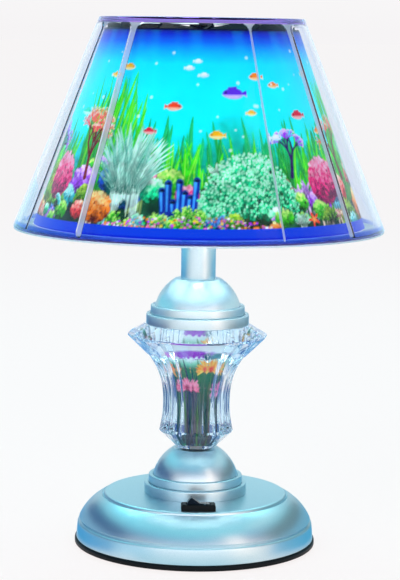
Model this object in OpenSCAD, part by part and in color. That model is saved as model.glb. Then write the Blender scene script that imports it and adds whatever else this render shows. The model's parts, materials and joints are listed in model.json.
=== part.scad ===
// Table lamp: clear ribbed shade over a turning picture drum, faceted vase stem, round base.
// Millimetres, +Z up, origin on the table under the stem, front with the switch towards -Y.

/* [Base] */
// Radius of the base skirt at its lower edge
skirt_r = 88.6; // [84:0.1:100]
// How much narrower the skirt is at its upper edge
skirt_taper = 1.1; // [0.2:0.1:3]
// Height of the skirt band
skirt_h = 12.2; // [11:0.1:18]
// Depth of the crease over the skirt
crease_d = 0.9; // [0.3:0.1:1.4]
// Height of the crease over the skirt
crease_h = 0.8; // [0.4:0.1:2]
// Radial width of the rounded bulge
bulge_w = 17.4; // [14:0.1:20]
// Height of the rounded bulge
bulge_h = 18.6; // [16:0.1:24]
// Radius of the bulge's curve
bulge_curve_r = 36; // [28:0.5:60]
// Width of the ledge between the bulge and the raised disc
ledge_w = 1.4; // [0.5:0.1:3]
// Radius of the disc's rounded lip, which is also its height over the ledge
lip_r = 1.9; // [1:0.1:3]
// Wall of the base cover
cover_wall = 2; // [1.5:0.1:3]
// How far the black plate stands out under the skirt
plate_overhang = 1.1; // [0.4:0.1:3]
// Height of the black plate's edge
plate_edge_h = 3.8; // [3:0.1:6]
// Rounding of the black plate's edge
plate_round = 1.4; // [0.4:0.1:2]
// Thickness of the bottom plate inside its edge
plate_t = 2.4; // [2:0.1:3]
// Height of the plate's locating lip inside the skirt
plate_lip_h = 3; // [1:0.1:5]
// Thickness of the plate's locating lip
plate_lip_t = 2; // [1:0.1:3]
// How far the felt stays inside the plate's edge
felt_inset = 5.7; // [2:0.1:12]
// Thickness of the felt
felt_t = 1; // [0.5:0.1:2]
// Radius of each screw boss
boss_r = 4; // [3.5:0.1:5]
// Distance of the boss centres inside the raised disc's edge
boss_inset = 6.5; // [6.4:0.1:10]
// Radius of a plate screw's shank
screw_r = 1.5; // [1.2:0.05:1.8]
// Radius of a plate screw's head
screw_head_r = 2.8; // [2.4:0.1:3.2]
// Length of a plate screw under its head
screw_l = 12; // [8:0.5:16]
// Gap between the steel ballast and the switch body
ballast_gap = 7.65; // [1:0.05:24]
// Thickness of the steel ballast
ballast_t = 8; // [4:0.5:9]

/* [Cord inlet and terminals] */
// Radius of the hole for the cord
cord_r = 2.9; // [2:0.1:3.2]
// Wall of the grommet around the cord hole
grommet_wall = 1; // [0.8:0.1:1.4]
// Width of the grommet's flanges
grommet_flange_w = 1.3; // [0.8:0.1:1.6]
// Thickness of the grommet's flanges
grommet_flange_t = 1.6; // [1:0.1:2.4]
// Width of the terminal block
block_w = 24; // [16:0.5:30]
// Depth of the terminal block
block_d = 12; // [8:0.5:14]
// Height of the terminal block
block_h = 10; // [9:0.5:14]
// Distance of the terminal block from the cord inlet
block_gap = 22.6; // [16:0.1:32]
// Radius of an inner lead
lead_r = 1; // [0.6:0.05:1.1]

/* [Domes] */
// Radius of a dome's lower ring
ring_r = 38; // [37:0.1:42]
// Height of a dome's lower ring
ring_h = 7.6; // [6.5:0.1:10]
// Width of the step between a dome's two rings
ring_step = 3.2; // [1:0.1:5]
// Height of a dome's upper ring
step_h = 6.2; // [5:0.1:8]
// Rounding of the rings' upper edges
ring_round = 0.9; // [0.3:0.1:1.5]
// How far the dome's sphere stays inside the upper ring
dome_inset = 2.4; // [1.5:0.1:4]
// Height of the sphere's centre over the dome's foot
dome_centre = 6; // [4:0.1:8]
// Radius of the flat on top of the dome
dome_flat_r = 17; // [15.5:0.1:20]
// Wall of a dome
dome_wall = 2.2; // [1.5:0.1:2.6]
// Radius of the black gasket under the vase
gasket_r = 10.5; // [8:0.1:16]
// Thickness of the gasket
gasket_t = 1.2; // [0.8:0.1:2]

/* [Vase] */
// Number of facets round the vase
facets = 18; // [12:2:24]
// Height of the vase
vase_h = 92.5; // [90:0.5:100]
// Radius of the vase's foot
foot_r = 15; // [14:0.1:17]
// Radius of the heel, where the foot's chamfer ends
heel_r = 27.5; // [26:0.1:30]
// Height of the heel
heel_z = 12.3; // [9:0.1:15]
// Radius of the waist
waist_r = 24.9; // [23:0.1:26]
// Height of the waist
waist_z = 33; // [26:0.5:40]
// How late the waist flares out towards the collar
waist_flare = 2.5; // [2:0.1:3]
// Radius of the collar under the flange
collar_r = 37.2; // [34:0.1:40]
// Height of the collar
collar_z = 70.3; // [66:0.1:74]
// Radius of the flange's edge
flange_r = 51.6; // [48:0.1:56]
// Height of the flange's lower edge
flange_z = 83.4; // [80:0.1:86]
// Height of the flange's upright edge
flange_edge = 1.4; // [0.6:0.1:3]
// Radius of the vase's top
mouth_r = 39; // [38.5:0.1:43]
// Thickness of the vase's floor
vase_floor = 4; // [3:0.1:6]
// Radius of the hollow at the floor
hollow_low_r = 12; // [9:0.1:13]
// Radius of the hollow at the top
hollow_top_r = 24; // [16:0.1:26]
// Thickness of the rolled picture in the hollow
picture_t = 0.4; // [0.3:0.05:1]
// Radius of the steel clamp disc on the vase
clamp_r = 30; // [27:0.1:32]
// Thickness of the steel clamp disc
clamp_t = 1.5; // [1:0.1:3]

/* [Stem] */
// Radius of the threaded rod
rod_r = 5; // [4.5:0.05:5.5]
// Radius of the rod's bore
rod_bore_r = 3.5; // [3.2:0.05:3.8]
// Length of the rod under the lower nut
rod_tail = 1.8; // [1:0.1:4]
// Depth of the rod in the lampholder
rod_grip = 11; // [8:0.5:11.5]
// Size of the hexagon nuts across their flats
nut_af = 16; // [14:0.5:18]
// Height of the hexagon nuts
nut_h = 5.5; // [4:0.1:6.5]
// Radius of the lock washer
washer_r = 10; // [8:0.1:12]
// Thickness of the lock washer
washer_t = 1; // [0.6:0.1:2]
// Radius of the neck tube
neck_r = 12.8; // [11:0.1:14]
// Length of the neck tube
neck_h = 37.1; // [30:0.1:60]
// Wall of the neck tube
neck_wall = 1.2; // [0.8:0.1:3]

/* [Shade] */
// Radius of the shade at its lower rim
shade_r = 136.4; // [130:0.1:150]
// Radius of the shade at its top
shade_top_r = 74.5; // [72:0.1:82]
// Height of the shade
shade_h = 152.5; // [150:0.5:170]
// Wall of the shade, measured across the slope
shade_wall = 3; // [2:0.1:3.6]
// Thickness of the inward flange at the top
top_flange_t = 3.6; // [2.5:0.1:5]
// Radius of the vent inside the top flange
vent_r = 64; // [50:0.5:67]
// Angle that each wide panel covers, of a quarter turn
wide_panel = 63.4; // [50:0.1:75]
// Turn of the first wide panel from the front, positive to the right
shade_turn = -8.6; // [-45:0.1:45]
// Width of the grooves between the panels
groove_w = 2.6; // [1.5:0.1:4]
// Depth of the grooves
groove_d = 1.2; // [0.5:0.1:1.5]
// Plain band over the panels, along the slope
top_band = 5; // [4:0.1:10]
// Plain band under the panels, along the slope
low_band = 2.6; // [1:0.1:6]
// Thickness of the carrier's seat under the shade's rim
seat_t = 1.2; // [0.8:0.1:2]
// How far the seat stays inside the shade's outer edge
seat_inset = 0.5; // [0.2:0.1:2]
// Thickness of the carrier
carrier_t = 2.7; // [2.2:0.1:3]
// Radial width of the carrier's ring
carrier_ring_w = 11; // [6:0.5:13]
// Width of the carrier's arms
arm_w = 9; // [6:0.5:14]
// Radius of the carrier's hub
hub_r = 17; // [15:0.5:24]

/* [Lamp] */
// Radius of the lampholder's lower body
holder_low_r = 13.4; // [12:0.1:13.8]
// Radius of the lampholder's skirt
holder_r = 14; // [13:0.1:16]
// Height of the lampholder's lower body
holder_low_h = 15; // [13:0.5:18]
// How far the bulb's cap stands out of the lampholder
cap_proud = 0.5; // [0.2:0.1:2]
// Thickness of the floor between the rod and the spring contact
holder_floor = 2; // [1:0.1:3]
// Radius of the bulb's screw cap
cap_r = 6.95; // [6.5:0.05:8]
// Height of the bulb's screw cap
cap_h = 26; // [24:0.5:28]
// Wall of the bulb's screw cap
cap_wall = 0.5; // [0.3:0.05:0.8]
// Height of the taper under the bulb's screw cap
cap_taper_h = 3; // [2:0.1:5]
// Radius of the bulb's centre contact
tip_r = 2.5; // [1.5:0.1:3]
// Radius of the lampholder's spring contact
contact_r = 3.5; // [2.5:0.1:5]
// Height of the lampholder's spring contact
contact_h = 1.5; // [1:0.1:3]
// Radius of the bulb's globe
globe_r = 22.5; // [20:0.1:24]
// Height of the globe's centre over the cap
globe_rise = 29; // [26:0.5:33]
// Radius of the bulb's neck
bulb_neck_r = 7.6; // [7:0.1:9]
// Angle under the globe's middle at which the neck begins
bulb_throat = 50; // [40:1:60]
// Wall of the bulb's glass
glass_t = 0.8; // [0.6:0.05:1.2]

/* [Drum] */
// Gap between the picture drum and the shade at the drum's lower edge
drum_gap = 10.7; // [9:0.1:16]
// Gap between the picture drum and the shade at the drum's top
drum_top_gap = 4.2; // [2.5:0.1:6]
// Thickness of the drum's film
film_t = 0.5; // [0.4:0.05:1]
// Running gap between the drum and the carrier
drum_lift = 0.8; // [0.5:0.1:2]
// Width of the hoop in the drum's lower edge
hoop_w = 2; // [1:0.1:4]
// Height of the hoop
hoop_h = 2; // [1:0.1:4]
// Number of vanes on the rotor
vanes = 12; // [6:1:16]
// Pitch of the vanes
vane_pitch = 35; // [15:1:40]
// Gap between the vanes and the shade's top flange
vane_gap = 0.8; // [0.5:0.1:4]
// Height of the vanes' middle over the rim's middle
vane_rise = 1.4; // [1.2:0.1:1.8]
// Half the width of a vane at its outer end
vane_tip = 7.6; // [4:0.1:7.8]
// Half the width of a vane at its inner end
vane_root = 1.8; // [1:0.1:2]
// Thickness of the rotor's sheet
vane_t = 0.8; // [0.5:0.05:1]
// Radial width of the rotor's rim
rim_w = 3; // [2:0.1:6]
// Height of the rotor's rim
rim_h = 4; // [2:0.1:5]
// Radius of the rotor's hub
rotor_hub_r = 9; // [8:0.1:12]
// Height of the rotor's hub
rotor_hub_h = 6.5; // [5:0.1:7]
// Radius of the bearing cup
cup_r = 3; // [2.5:0.1:4]
// Height of the bearing cup
cup_h = 8; // [7:0.1:9]
// Radius of the needle
needle_r = 0.75; // [0.5:0.05:1]
// Length of the needle's pointed end
needle_point = 2.4; // [1.5:0.1:3]
// Radius of the needle's blunt tip
needle_tip_r = 0.1; // [0.05:0.01:0.2]
// Length of the needle
needle_l = 17.3; // [14:0.1:24]
// Depth of the needle in the bearing cup
needle_depth = 5.4; // [4.5:0.1:5.8]
// Radius of the needle bracket's wire
wire_r = 1; // [0.8:0.05:1.5]
// Half the span of the needle bracket
bracket_r = 31; // [27:0.5:34]
// Height of the bracket's clip on the lampholder
clip_h = 4; // [3:0.1:6]
// Wall of the bracket's clip
clip_wall = 2; // [1.2:0.1:3]
// Distance of the clip under the lampholder's top
clip_drop = 15; // [12:0.5:20]
// Radius of the boss that holds the needle
needle_boss_r = 3; // [2:0.1:4]
// Height of the boss that holds the needle
needle_boss_h = 5; // [4:0.1:7]

/* [Switch] */
// Length of the switch bezel
bezel_w = 24.8; // [24:0.1:28]
// Depth of the switch bezel
bezel_d = 10.6; // [10.2:0.1:12]
// Height of the bezel over the base
bezel_h = 4.5; // [3.6:0.1:6]
// Chamfer round the bezel's top
bezel_chamfer = 1; // [0.4:0.1:1.6]
// Distance from the bezel's front to the edge of the raised disc
switch_margin = 2.8; // [2.4:0.1:5]
// Depth of the switch body under the base
switch_depth = 17.5; // [17:0.5:20]
// Wall of the switch body
switch_wall = 1.1; // [0.9:0.05:1.4]
// Thickness of the switch body's floor
switch_floor = 1.5; // [1:0.1:1.8]
// Radius of the rocker's round ends about its pivot
rocker_r = 8.6; // [8:0.1:9]
// Width of the rocker
rocker_w = 6.4; // [5:0.1:6.6]
// Depth of the rocker's pivot under the bezel's top
pivot_depth = 2.2; // [2:0.1:2.6]
// Height of the rocker's corners over its pivot, as an angle
rocker_corner = 35; // [30:1:40]
// Depth of the rocker's lower corners under its pivot, as an angle
rocker_heel = 25; // [20:1:28]
// Slope of the two faces of the rocker
rocker_slope = 16; // [8:1:20]
// Tilt of the rocker each way
rocker_tilt = 20; // [10:1:20]
// Radius of the rocker's pivot pins
pivot_r = 1.2; // [0.8:0.05:1.4]
// Radius of the rocker's plunger guide
guide_r = 2; // [1.6:0.1:2.4]
// Length of the plunger guide under the rocker's pivot
guide_l = 8; // [6:0.1:9]
// Radius of the spring plunger
plunger_r = 1; // [0.6:0.05:1.2]
// Gap between the plunger's tip and the contact lever at mid travel
plunger_gap = 1.6; // [0.5:0.1:2.5]
// Height of the contact lever's pivot over the contacts
lever_rise = 2.5; // [2:0.1:3]
// Length of the contact lever
lever_l = 12; // [8:0.5:13]
// Width of the contact lever
lever_w = 4.5; // [3:0.1:5]
// Thickness of the contact lever
lever_t = 0.8; // [0.5:0.05:1]
// Radius of the contact lever's pivot pins
lever_pin_r = 0.7; // [0.5:0.05:0.9]
// Tilt of the contact lever each way
lever_tilt = 12; // [6:1:12]
// Thickness of the terminal tabs
tab_t = 0.8; // [0.5:0.05:1]
// Width of the terminal tabs
tab_w = 4; // [3:0.1:5]
// Length of the terminal tabs under the switch body
tab_l = 8.8; // [6:0.1:9.5]
// Distance of each tab from the middle of the switch
tab_x = 5.2; // [4.5:0.1:5.6]

/* [Fits] */
// Radial clearance of holes that the rod passes through
rod_fit = 0.2; // [0.1:0.05:0.4]
// Radial clearance of threads, screws and pressed pieces
thread_fit = 0.05; // [0.02:0.01:0.1]
// Radial clearance of pins that turn
running_fit = 0.05; // [0.02:0.01:0.09]
// Clearance between pieces that only locate each other
seat_fit = 0.25; // [0.15:0.05:0.4]
// Clearance of the rocker in its bezel
rocker_fit = 0.3; // [0.25:0.05:0.4]

/* [Hidden] */
$fn = 96;
arc_steps = 14;
waist_steps = 6;
over = 1;
sliver = 0.01;

// Heights of the stack, from the table up
plate_z = felt_t;
skirt_z = plate_z + plate_edge_h;
crease_z = skirt_z + skirt_h;
bulge_z = crease_z + crease_h;
ledge_z = bulge_z + bulge_h;
disc_z = ledge_z + lip_r;
inside_z = disc_z - cover_wall;
step_r = ring_r - ring_step;
dome_r = step_r - dome_inset;
dome_h = dome_centre + sqrt(dome_r * dome_r - dome_flat_r * dome_flat_r);
gasket_z = disc_z + dome_h;
vase_z = gasket_z + gasket_t;
mouth_z = vase_z + vase_h;
neck_z = mouth_z + dome_h;
carrier_z = neck_z + neck_h;
shade_z = carrier_z + seat_t;
holder_z = carrier_z + carrier_t;
top_z = shade_z + shade_h;

// Radii of the base, from the skirt inwards
skirt_top_r = skirt_r - skirt_taper;
bulge_low_r = skirt_top_r - crease_d / 2;
bulge_top_r = bulge_low_r - bulge_w;
disc_r = bulge_top_r - ledge_w - lip_r;
plate_r = skirt_r + plate_overhang;
plate_lip_r = skirt_r - cover_wall - skirt_taper * plate_lip_h / skirt_h - seat_fit;
boss_ring_r = disc_r - boss_inset;
rod_hole_r = rod_r + rod_fit;
rod_low_z = inside_z - ballast_t - washer_t - nut_h - rod_tail;
rod_top_z = holder_z + rod_grip;

// Cord inlet, in the middle of the skirt at the back
inlet_z = skirt_z + skirt_h / 2;
inlet_r = cord_r + grommet_wall;
inlet_out_y = skirt_r;
inlet_in_y = skirt_top_r - crease_d - cover_wall;
block_y = inlet_in_y - block_gap - block_d;

// Slope of the shade and of the drum
shade_slope = atan((shade_r - shade_top_r) / shade_h);
shade_slant = norm([shade_r - shade_top_r, shade_h]);
shade_wall_flat = shade_wall / cos(shade_slope);
shade_inner_r = shade_r - shade_wall_flat;
vane_reach = vane_tip * sin(vane_pitch) + vane_t / 2 * cos(vane_pitch);
film_z = holder_z + drum_lift;
film_top_z = top_z - top_flange_t - vane_gap - vane_reach - vane_rise + rim_h / 2;
drum_r = shade_inner_r - (film_z - shade_z) * tan(shade_slope) - drum_gap;
drum_top_r = shade_inner_r - (film_top_z - shade_z) * tan(shade_slope) - drum_top_gap;
film_fall = (drum_r - drum_top_r) / (film_top_z - film_z);
rotor_z = film_top_z - rim_h;
rim_r = drum_top_r - film_t - thread_fit;
vane_z = rotor_z + rim_h / 2 + vane_rise;
cup_z = vane_z - cup_h / 2;
needle_top_z = cup_z + needle_depth;

// Lamp inside the drum
cap_z = holder_z + holder_low_h + contact_h;
bulb_z = cap_z + cap_h;
globe_z = bulb_z + globe_rise;
holder_h = bulb_z - cap_proud - holder_z;
clip_z = holder_z + holder_h - clip_drop - clip_h;
needle_low_z = needle_top_z - needle_l;
arch_z = needle_low_z + 2 * wire_r - bracket_r;
bracket_leg = arch_z - clip_z - clip_h / 2;

// Switch, with its own origin on the rocker's pivot
switch_y = -(disc_r - switch_margin - bezel_d / 2);
pivot_z = disc_z + bezel_h - pivot_depth;
bezel_low = pivot_depth - bezel_h;
body_low = bezel_low - switch_depth;
cavity_x = rocker_r + rocker_fit;
cavity_y = rocker_w / 2 + rocker_fit;
body_x = cavity_x + switch_wall;
body_y = cavity_y + switch_wall;
pin_reach = body_y - rocker_fit;
lever_drop = -body_low - switch_floor - tab_t - lever_rise;
plunger_l = lever_drop - lever_t / 2 - plunger_gap;
ballast_r = -switch_y - body_y - ballast_gap;
rocker_foot = -rocker_r * sin(rocker_heel);

// Inner leads, from the rod's bore to the switch, to the block, and from the block to the switch
bend = 6;
lead_x = 1.4;
lead_top_z = holder_z + holder_low_h - holder_floor;
lead_z = plate_z + plate_t + block_h / 2 + lead_r;
low_lead_z = plate_z + plate_t + 2 * lead_r;
tab_mid_z = pivot_z + body_low - tab_l / 2;
tab_face_y = switch_y + tab_t / 2;

// Corner radii of the vase against height, with the concave waist as two curves
vase_levels = concat(
  [[foot_r, 0]],
  [for (i = [waist_steps:-1:1])
    let (t = i / waist_steps) [waist_r + (heel_r - waist_r) * t * t, waist_z - (waist_z - heel_z) * t]],
  [for (i = [0:waist_steps])
    let (t = i / waist_steps)
    [waist_r + (collar_r - waist_r) * pow(t, waist_flare), waist_z + (collar_z - waist_z) * t]],
  [[flange_r, flange_z], [flange_r, flange_z + flange_edge], [mouth_r, vase_h]]
);

function unit(v) = v / norm(v);

// Points on a circle about c from angle a to angle b
function arc(c, r, a, b) =
  [for (i = [0:arc_steps]) c + r * [cos(a + (b - a) * i / arc_steps), sin(a + (b - a) * i / arc_steps)]];

// Centre of the circle of radius r through p and q, on the left of the way from p to q
function arc_centre(p, q, r) =
  let (d = q - p, h = sqrt(r * r - d * d / 4))
  (p + q) / 2 + h * unit([-d.y, d.x]);

function angle_of(v) = atan2(v.y, v.x);

// Closed solid through rings of equally many points, each turning left about the way to the next ring
module loft(rings) {
  sides = len(rings[0]);
  last = (len(rings) - 1) * sides;
  walls = [
    for (i = [0:len(rings) - 2])
      for (k = [0:sides - 1])
        let (a = i * sides + k, b = i * sides + (k + 1) % sides)
        each [[a, a + sides, b + sides], [a, b + sides, b]]
  ];
  ends = [[for (k = [0:sides - 1]) k], [for (k = [sides - 1:-1:0]) last + k]];
  polyhedron([for (r = rings) each r], concat(walls, ends));
}

// Tube of radius r swept along points that lie close to one plane of constant X
module tube(path, r, sides = 8) {
  n = len(path);
  function along(i) = unit(path[min(i + 1, n - 1)] - path[max(i - 1, 0)]);
  loft([
    for (i = [0:n - 1])
      let (u = unit(cross([1, 0, 0], along(i))), v = cross(along(i), u))
      [for (k = [0:sides - 1]) path[i] + r * (cos(360 * k / sides) * u + sin(360 * k / sides) * v)]
  ]);
}

module ring(r_out, r_in, h) {
  difference() {
    cylinder(r = r_out, h = h);
    translate([0, 0, -over]) cylinder(r = r_in, h = h + 2 * over);
  }
}

module at_bosses() {
  for (a = [45:90:315]) {
    rotate([0, 0, a]) translate([boss_ring_r, 0, 0]) children();
  }
}

module at_switch() {
  translate([0, switch_y, pivot_z]) children();
}

// Cylinder along Y, centred on the origin
module cross_pin(r, l) {
  rotate([90, 0, 0]) cylinder(r = r, h = l, center = true);
}

// Base

module base_felt() {
  color("dimgray") cylinder(r = plate_r - felt_inset, h = felt_t);
}

module bottom_plate() {
  edge_foot = skirt_z - plate_round;
  section = concat(
    [[0, plate_z], [plate_r, plate_z]],
    arc([plate_r - plate_round, edge_foot], plate_round, 0, 90),
    [
      [plate_lip_r, skirt_z],
      [plate_lip_r, skirt_z + plate_lip_h],
      [plate_lip_r - plate_lip_t, skirt_z + plate_lip_h],
      [plate_lip_r - plate_lip_t, plate_z + plate_t],
      [0, plate_z + plate_t]
    ]
  );
  color("black") difference() {
    rotate_extrude() polygon(section);
    at_bosses() {
      translate([0, 0, plate_z - over]) cylinder(r = screw_r + rod_fit, h = plate_t + 2 * over);
      translate([0, 0, plate_z - sliver])
        cylinder(r1 = screw_head_r + thread_fit, r2 = screw_r + rod_fit, h = screw_head_r - screw_r);
    }
    translate([-inlet_r - grommet_flange_w - over, inlet_in_y - 3 * plate_lip_t, skirt_z])
      cube([2 * (inlet_r + grommet_flange_w + over), 4 * plate_lip_t, plate_lip_h + over]);
  }
}

module plate_screws() {
  color("silver") at_bosses() translate([0, 0, plate_z]) {
    cylinder(r = screw_r, h = screw_l);
    cylinder(r1 = screw_head_r, r2 = screw_r, h = screw_head_r - screw_r);
  }
}

module base_cover() {
  low = [bulge_low_r, bulge_z];
  high = [bulge_top_r, ledge_z];
  c = arc_centre(low, high, bulge_curve_r);
  from = angle_of(low - c);
  to = angle_of(high - c);
  inner_r = bulge_curve_r - cover_wall;
  inner_top = c + inner_r * [cos(to), sin(to)];
  section = concat(
    [[skirt_r, skirt_z], [skirt_top_r, crease_z], [skirt_top_r - crease_d, crease_z + crease_h / 2]],
    arc(c, bulge_curve_r, from, to),
    arc([disc_r, ledge_z], lip_r, 0, 90),
    [
      [rod_hole_r, disc_z],
      [rod_hole_r, inside_z],
      [disc_r - cover_wall, inside_z],
      [disc_r - cover_wall, inner_top.y]
    ],
    arc(c, inner_r, to, from),
    [[skirt_top_r - crease_d - cover_wall, crease_z], [skirt_r - cover_wall, skirt_z]]
  );
  color("lightsteelblue") difference() {
    union() {
      rotate_extrude() polygon(section);
      at_bosses() translate([0, 0, plate_z + plate_t])
        cylinder(r = boss_r, h = inside_z - plate_z - plate_t + cover_wall / 2);
    }
    at_bosses() translate([0, 0, plate_z + plate_t - over])
      cylinder(r = screw_r + thread_fit, h = screw_l + over);
    translate([-body_x - seat_fit, switch_y - body_y - seat_fit, inside_z - over])
      cube([2 * (body_x + seat_fit), 2 * (body_y + seat_fit), cover_wall + 2 * over]);
    translate([0, inlet_out_y, inlet_z])
      cross_pin(inlet_r + seat_fit, 2 * (inlet_out_y - inlet_in_y + over));
  }
}

module ballast_disc() {
  color("gray") translate([0, 0, inside_z - ballast_t]) ring(ballast_r, rod_hole_r, ballast_t);
}

module lock_washer() {
  color("silver") translate([0, 0, inside_z - ballast_t - washer_t]) ring(washer_r, rod_hole_r, washer_t);
}

module hex_nut() {
  difference() {
    cylinder(r = nut_af / 2 / cos(30), h = nut_h, $fn = 6);
    translate([0, 0, -over]) cylinder(r = rod_r + thread_fit, h = nut_h + 2 * over);
  }
}

module lower_nut() {
  color("silver") translate([0, 0, inside_z - ballast_t - washer_t - nut_h]) hex_nut();
}

module cord_grommet() {
  flange_r = inlet_r + grommet_flange_w;
  section = [
    [cord_r, inlet_in_y - grommet_flange_t - seat_fit],
    [flange_r, inlet_in_y - grommet_flange_t - seat_fit],
    [flange_r, inlet_in_y - seat_fit],
    [inlet_r, inlet_in_y - seat_fit],
    [inlet_r, inlet_out_y],
    [flange_r, inlet_out_y],
    [flange_r - grommet_flange_t / 2, inlet_out_y + grommet_flange_t],
    [cord_r, inlet_out_y + grommet_flange_t]
  ];
  color("black") translate([0, 0, inlet_z]) rotate([-90, 0, 0]) rotate_extrude() polygon(section);
}

module terminal_block() {
  color("ivory") translate([-block_w / 2, block_y, plate_z + plate_t]) cube([block_w, block_d, block_h]);
}

module lead_live() {
  path = [
    [lead_x, 0, lead_top_z],
    [lead_x, 0, rod_low_z],
    [lead_x, 0, lead_z + bend],
    [lead_x, -bend / 3, lead_z + bend / 3],
    [lead_x, -bend, lead_z],
    [lead_x, switch_y / 3, lead_z],
    [(lead_x + tab_x) / 2, tab_face_y + 2 * bend, tab_mid_z - lead_r],
    [tab_x, tab_face_y + bend, tab_mid_z],
    [tab_x, tab_face_y, tab_mid_z]
  ];
  color("saddlebrown") tube(path, lead_r);
}

module lead_neutral() {
  path = [
    [-lead_x, 0, lead_top_z],
    [-lead_x, 0, rod_low_z],
    [-lead_x, 0, lead_z + bend],
    [-lead_x, bend / 3, lead_z + bend / 3],
    [-lead_x, bend, lead_z],
    [-lead_x, block_y, lead_z]
  ];
  color("steelblue") tube(path, lead_r);
}

module lead_switch() {
  path = [
    [-tab_x, block_y, low_lead_z],
    [-tab_x, 0, low_lead_z],
    [-tab_x, switch_y / 2, low_lead_z],
    [-tab_x, tab_face_y + 2 * bend, tab_mid_z - bend / 3],
    [-tab_x, tab_face_y + bend, tab_mid_z],
    [-tab_x, tab_face_y, tab_mid_z]
  ];
  color("saddlebrown") tube(path, lead_r);
}

// Switch

module switch_body() {
  bezel_front = [
    [-bezel_w / 2, bezel_low],
    [bezel_w / 2, bezel_low],
    [bezel_w / 2, pivot_depth - bezel_chamfer],
    [bezel_w / 2 - bezel_chamfer, pivot_depth],
    [-bezel_w / 2 + bezel_chamfer, pivot_depth],
    [-bezel_w / 2, pivot_depth - bezel_chamfer]
  ];
  bezel_side = [
    [-bezel_d / 2, bezel_low],
    [bezel_d / 2, bezel_low],
    [bezel_d / 2, pivot_depth - bezel_chamfer / 2],
    [bezel_d / 2 - bezel_chamfer / 2, pivot_depth],
    [-bezel_d / 2 + bezel_chamfer / 2, pivot_depth],
    [-bezel_d / 2, pivot_depth - bezel_chamfer / 2]
  ];
  color("#1c1e22") at_switch() difference() {
    union() {
      intersection() {
        rotate([90, 0, 0]) linear_extrude(bezel_d, center = true) polygon(bezel_front);
        rotate([90, 0, 90]) linear_extrude(bezel_w, center = true) polygon(bezel_side);
      }
      translate([-body_x, -body_y, body_low]) cube([2 * body_x, 2 * body_y, switch_depth + over]);
    }
    translate([-cavity_x, -cavity_y, body_low + switch_floor])
      cube([2 * cavity_x, 2 * cavity_y, switch_depth + bezel_h + over]);
    cross_pin(pivot_r + running_fit, 2 * body_y);
    translate([0, 0, -lever_drop]) cross_pin(lever_pin_r + running_fit, 2 * body_y + over);
    for (x = [-tab_x, tab_x]) {
      translate([x - tab_w / 2 - thread_fit, -tab_t / 2 - thread_fit, body_low - over])
        cube([tab_w + 2 * thread_fit, tab_t + 2 * thread_fit, switch_floor + 2 * over]);
    }
  }
}

module switch_rocker() {
  valley = rocker_r * (sin(rocker_corner) - cos(rocker_corner) * tan(rocker_slope));
  outline = concat(
    [[0, valley]],
    arc([0, 0], rocker_r, rocker_corner, -rocker_heel),
    arc([0, 0], rocker_r, 180 + rocker_heel, 180 - rocker_corner)
  );
  color("#17191c") at_switch() rotate([0, rocker_tilt, 0]) difference() {
    union() {
      rotate([90, 0, 0]) linear_extrude(rocker_w, center = true) polygon(outline);
      cross_pin(pivot_r, 2 * pin_reach);
      translate([0, 0, -guide_l]) cylinder(r = guide_r, h = guide_l + rocker_foot + over);
    }
    translate([0, 0, -guide_l - over]) cylinder(r = plunger_r + running_fit, h = guide_l + over - pivot_r);
  }
}

module switch_plunger() {
  color("ivory") at_switch() rotate([0, rocker_tilt, 0]) {
    translate([0, 0, -plunger_l + plunger_r])
      cylinder(r = plunger_r, h = plunger_l - plunger_r - pivot_r - rocker_fit);
    translate([0, 0, -plunger_l + plunger_r]) sphere(r = plunger_r);
  }
}

module switch_lever() {
  color("gold") at_switch() translate([0, 0, -lever_drop]) rotate([0, -lever_tilt, 0]) {
    cube([lever_l, lever_w, lever_t], center = true);
    cross_pin(lever_pin_r, 2 * pin_reach);
  }
}

module switch_terminals() {
  top = body_low + switch_floor + tab_t;
  color("gold") at_switch() for (side = [-1, 1]) {
    translate([side * tab_x - tab_w / 2, -tab_t / 2, body_low - tab_l])
      cube([tab_w, tab_t, tab_l + top - body_low]);
    translate([side * tab_x - tab_w / 2, -lever_w / 2, top - tab_t]) cube([tab_w, lever_w, tab_t]);
  }
}

// Stem

module dome() {
  foot_z = ring_h + step_h;
  inner_r = dome_r - dome_wall;
  c = [0, dome_centre];
  function rise(z, r) = asin((z - dome_centre) / r);
  section = concat(
    [[ring_r, 0]],
    arc([ring_r - ring_round, ring_h - ring_round], ring_round, 0, 90),
    [[step_r, ring_h]],
    arc([step_r - ring_round, foot_z - ring_round], ring_round, 0, 90),
    arc(c, dome_r, rise(foot_z, dome_r), rise(dome_h, dome_r)),
    [[rod_hole_r, dome_h], [rod_hole_r, dome_h - dome_wall]],
    arc(c, inner_r, rise(dome_h - dome_wall, inner_r), rise(foot_z - dome_wall, inner_r)),
    [
      [step_r - dome_wall, foot_z - dome_wall],
      [step_r - dome_wall, ring_h - dome_wall],
      [ring_r - dome_wall, ring_h - dome_wall],
      [ring_r - dome_wall, 0]
    ]
  );
  rotate_extrude() polygon(section);
}

module lower_dome() {
  color("lightsteelblue") translate([0, 0, disc_z]) dome();
}

module upper_dome() {
  color("lightsteelblue") translate([0, 0, mouth_z]) dome();
}

module vase_gasket() {
  color("black") translate([0, 0, gasket_z]) ring(gasket_r, rod_hole_r, gasket_t);
}

module faceted(levels) {
  loft([
    for (level = levels)
      [for (k = [0:facets - 1])
        let (a = 360 * (k + 0.5) / facets - 90) [level[0] * cos(a), level[0] * sin(a), level[1]]]
  ]);
}

module crystal_vase() {
  color("lightblue", 0.5) translate([0, 0, vase_z]) difference() {
    faceted(vase_levels);
    translate([0, 0, vase_floor])
      cylinder(r1 = hollow_low_r, r2 = hollow_top_r, h = vase_h - vase_floor + sliver);
    translate([0, 0, -over]) cylinder(r = rod_hole_r, h = vase_floor + 2 * over);
  }
}

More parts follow.
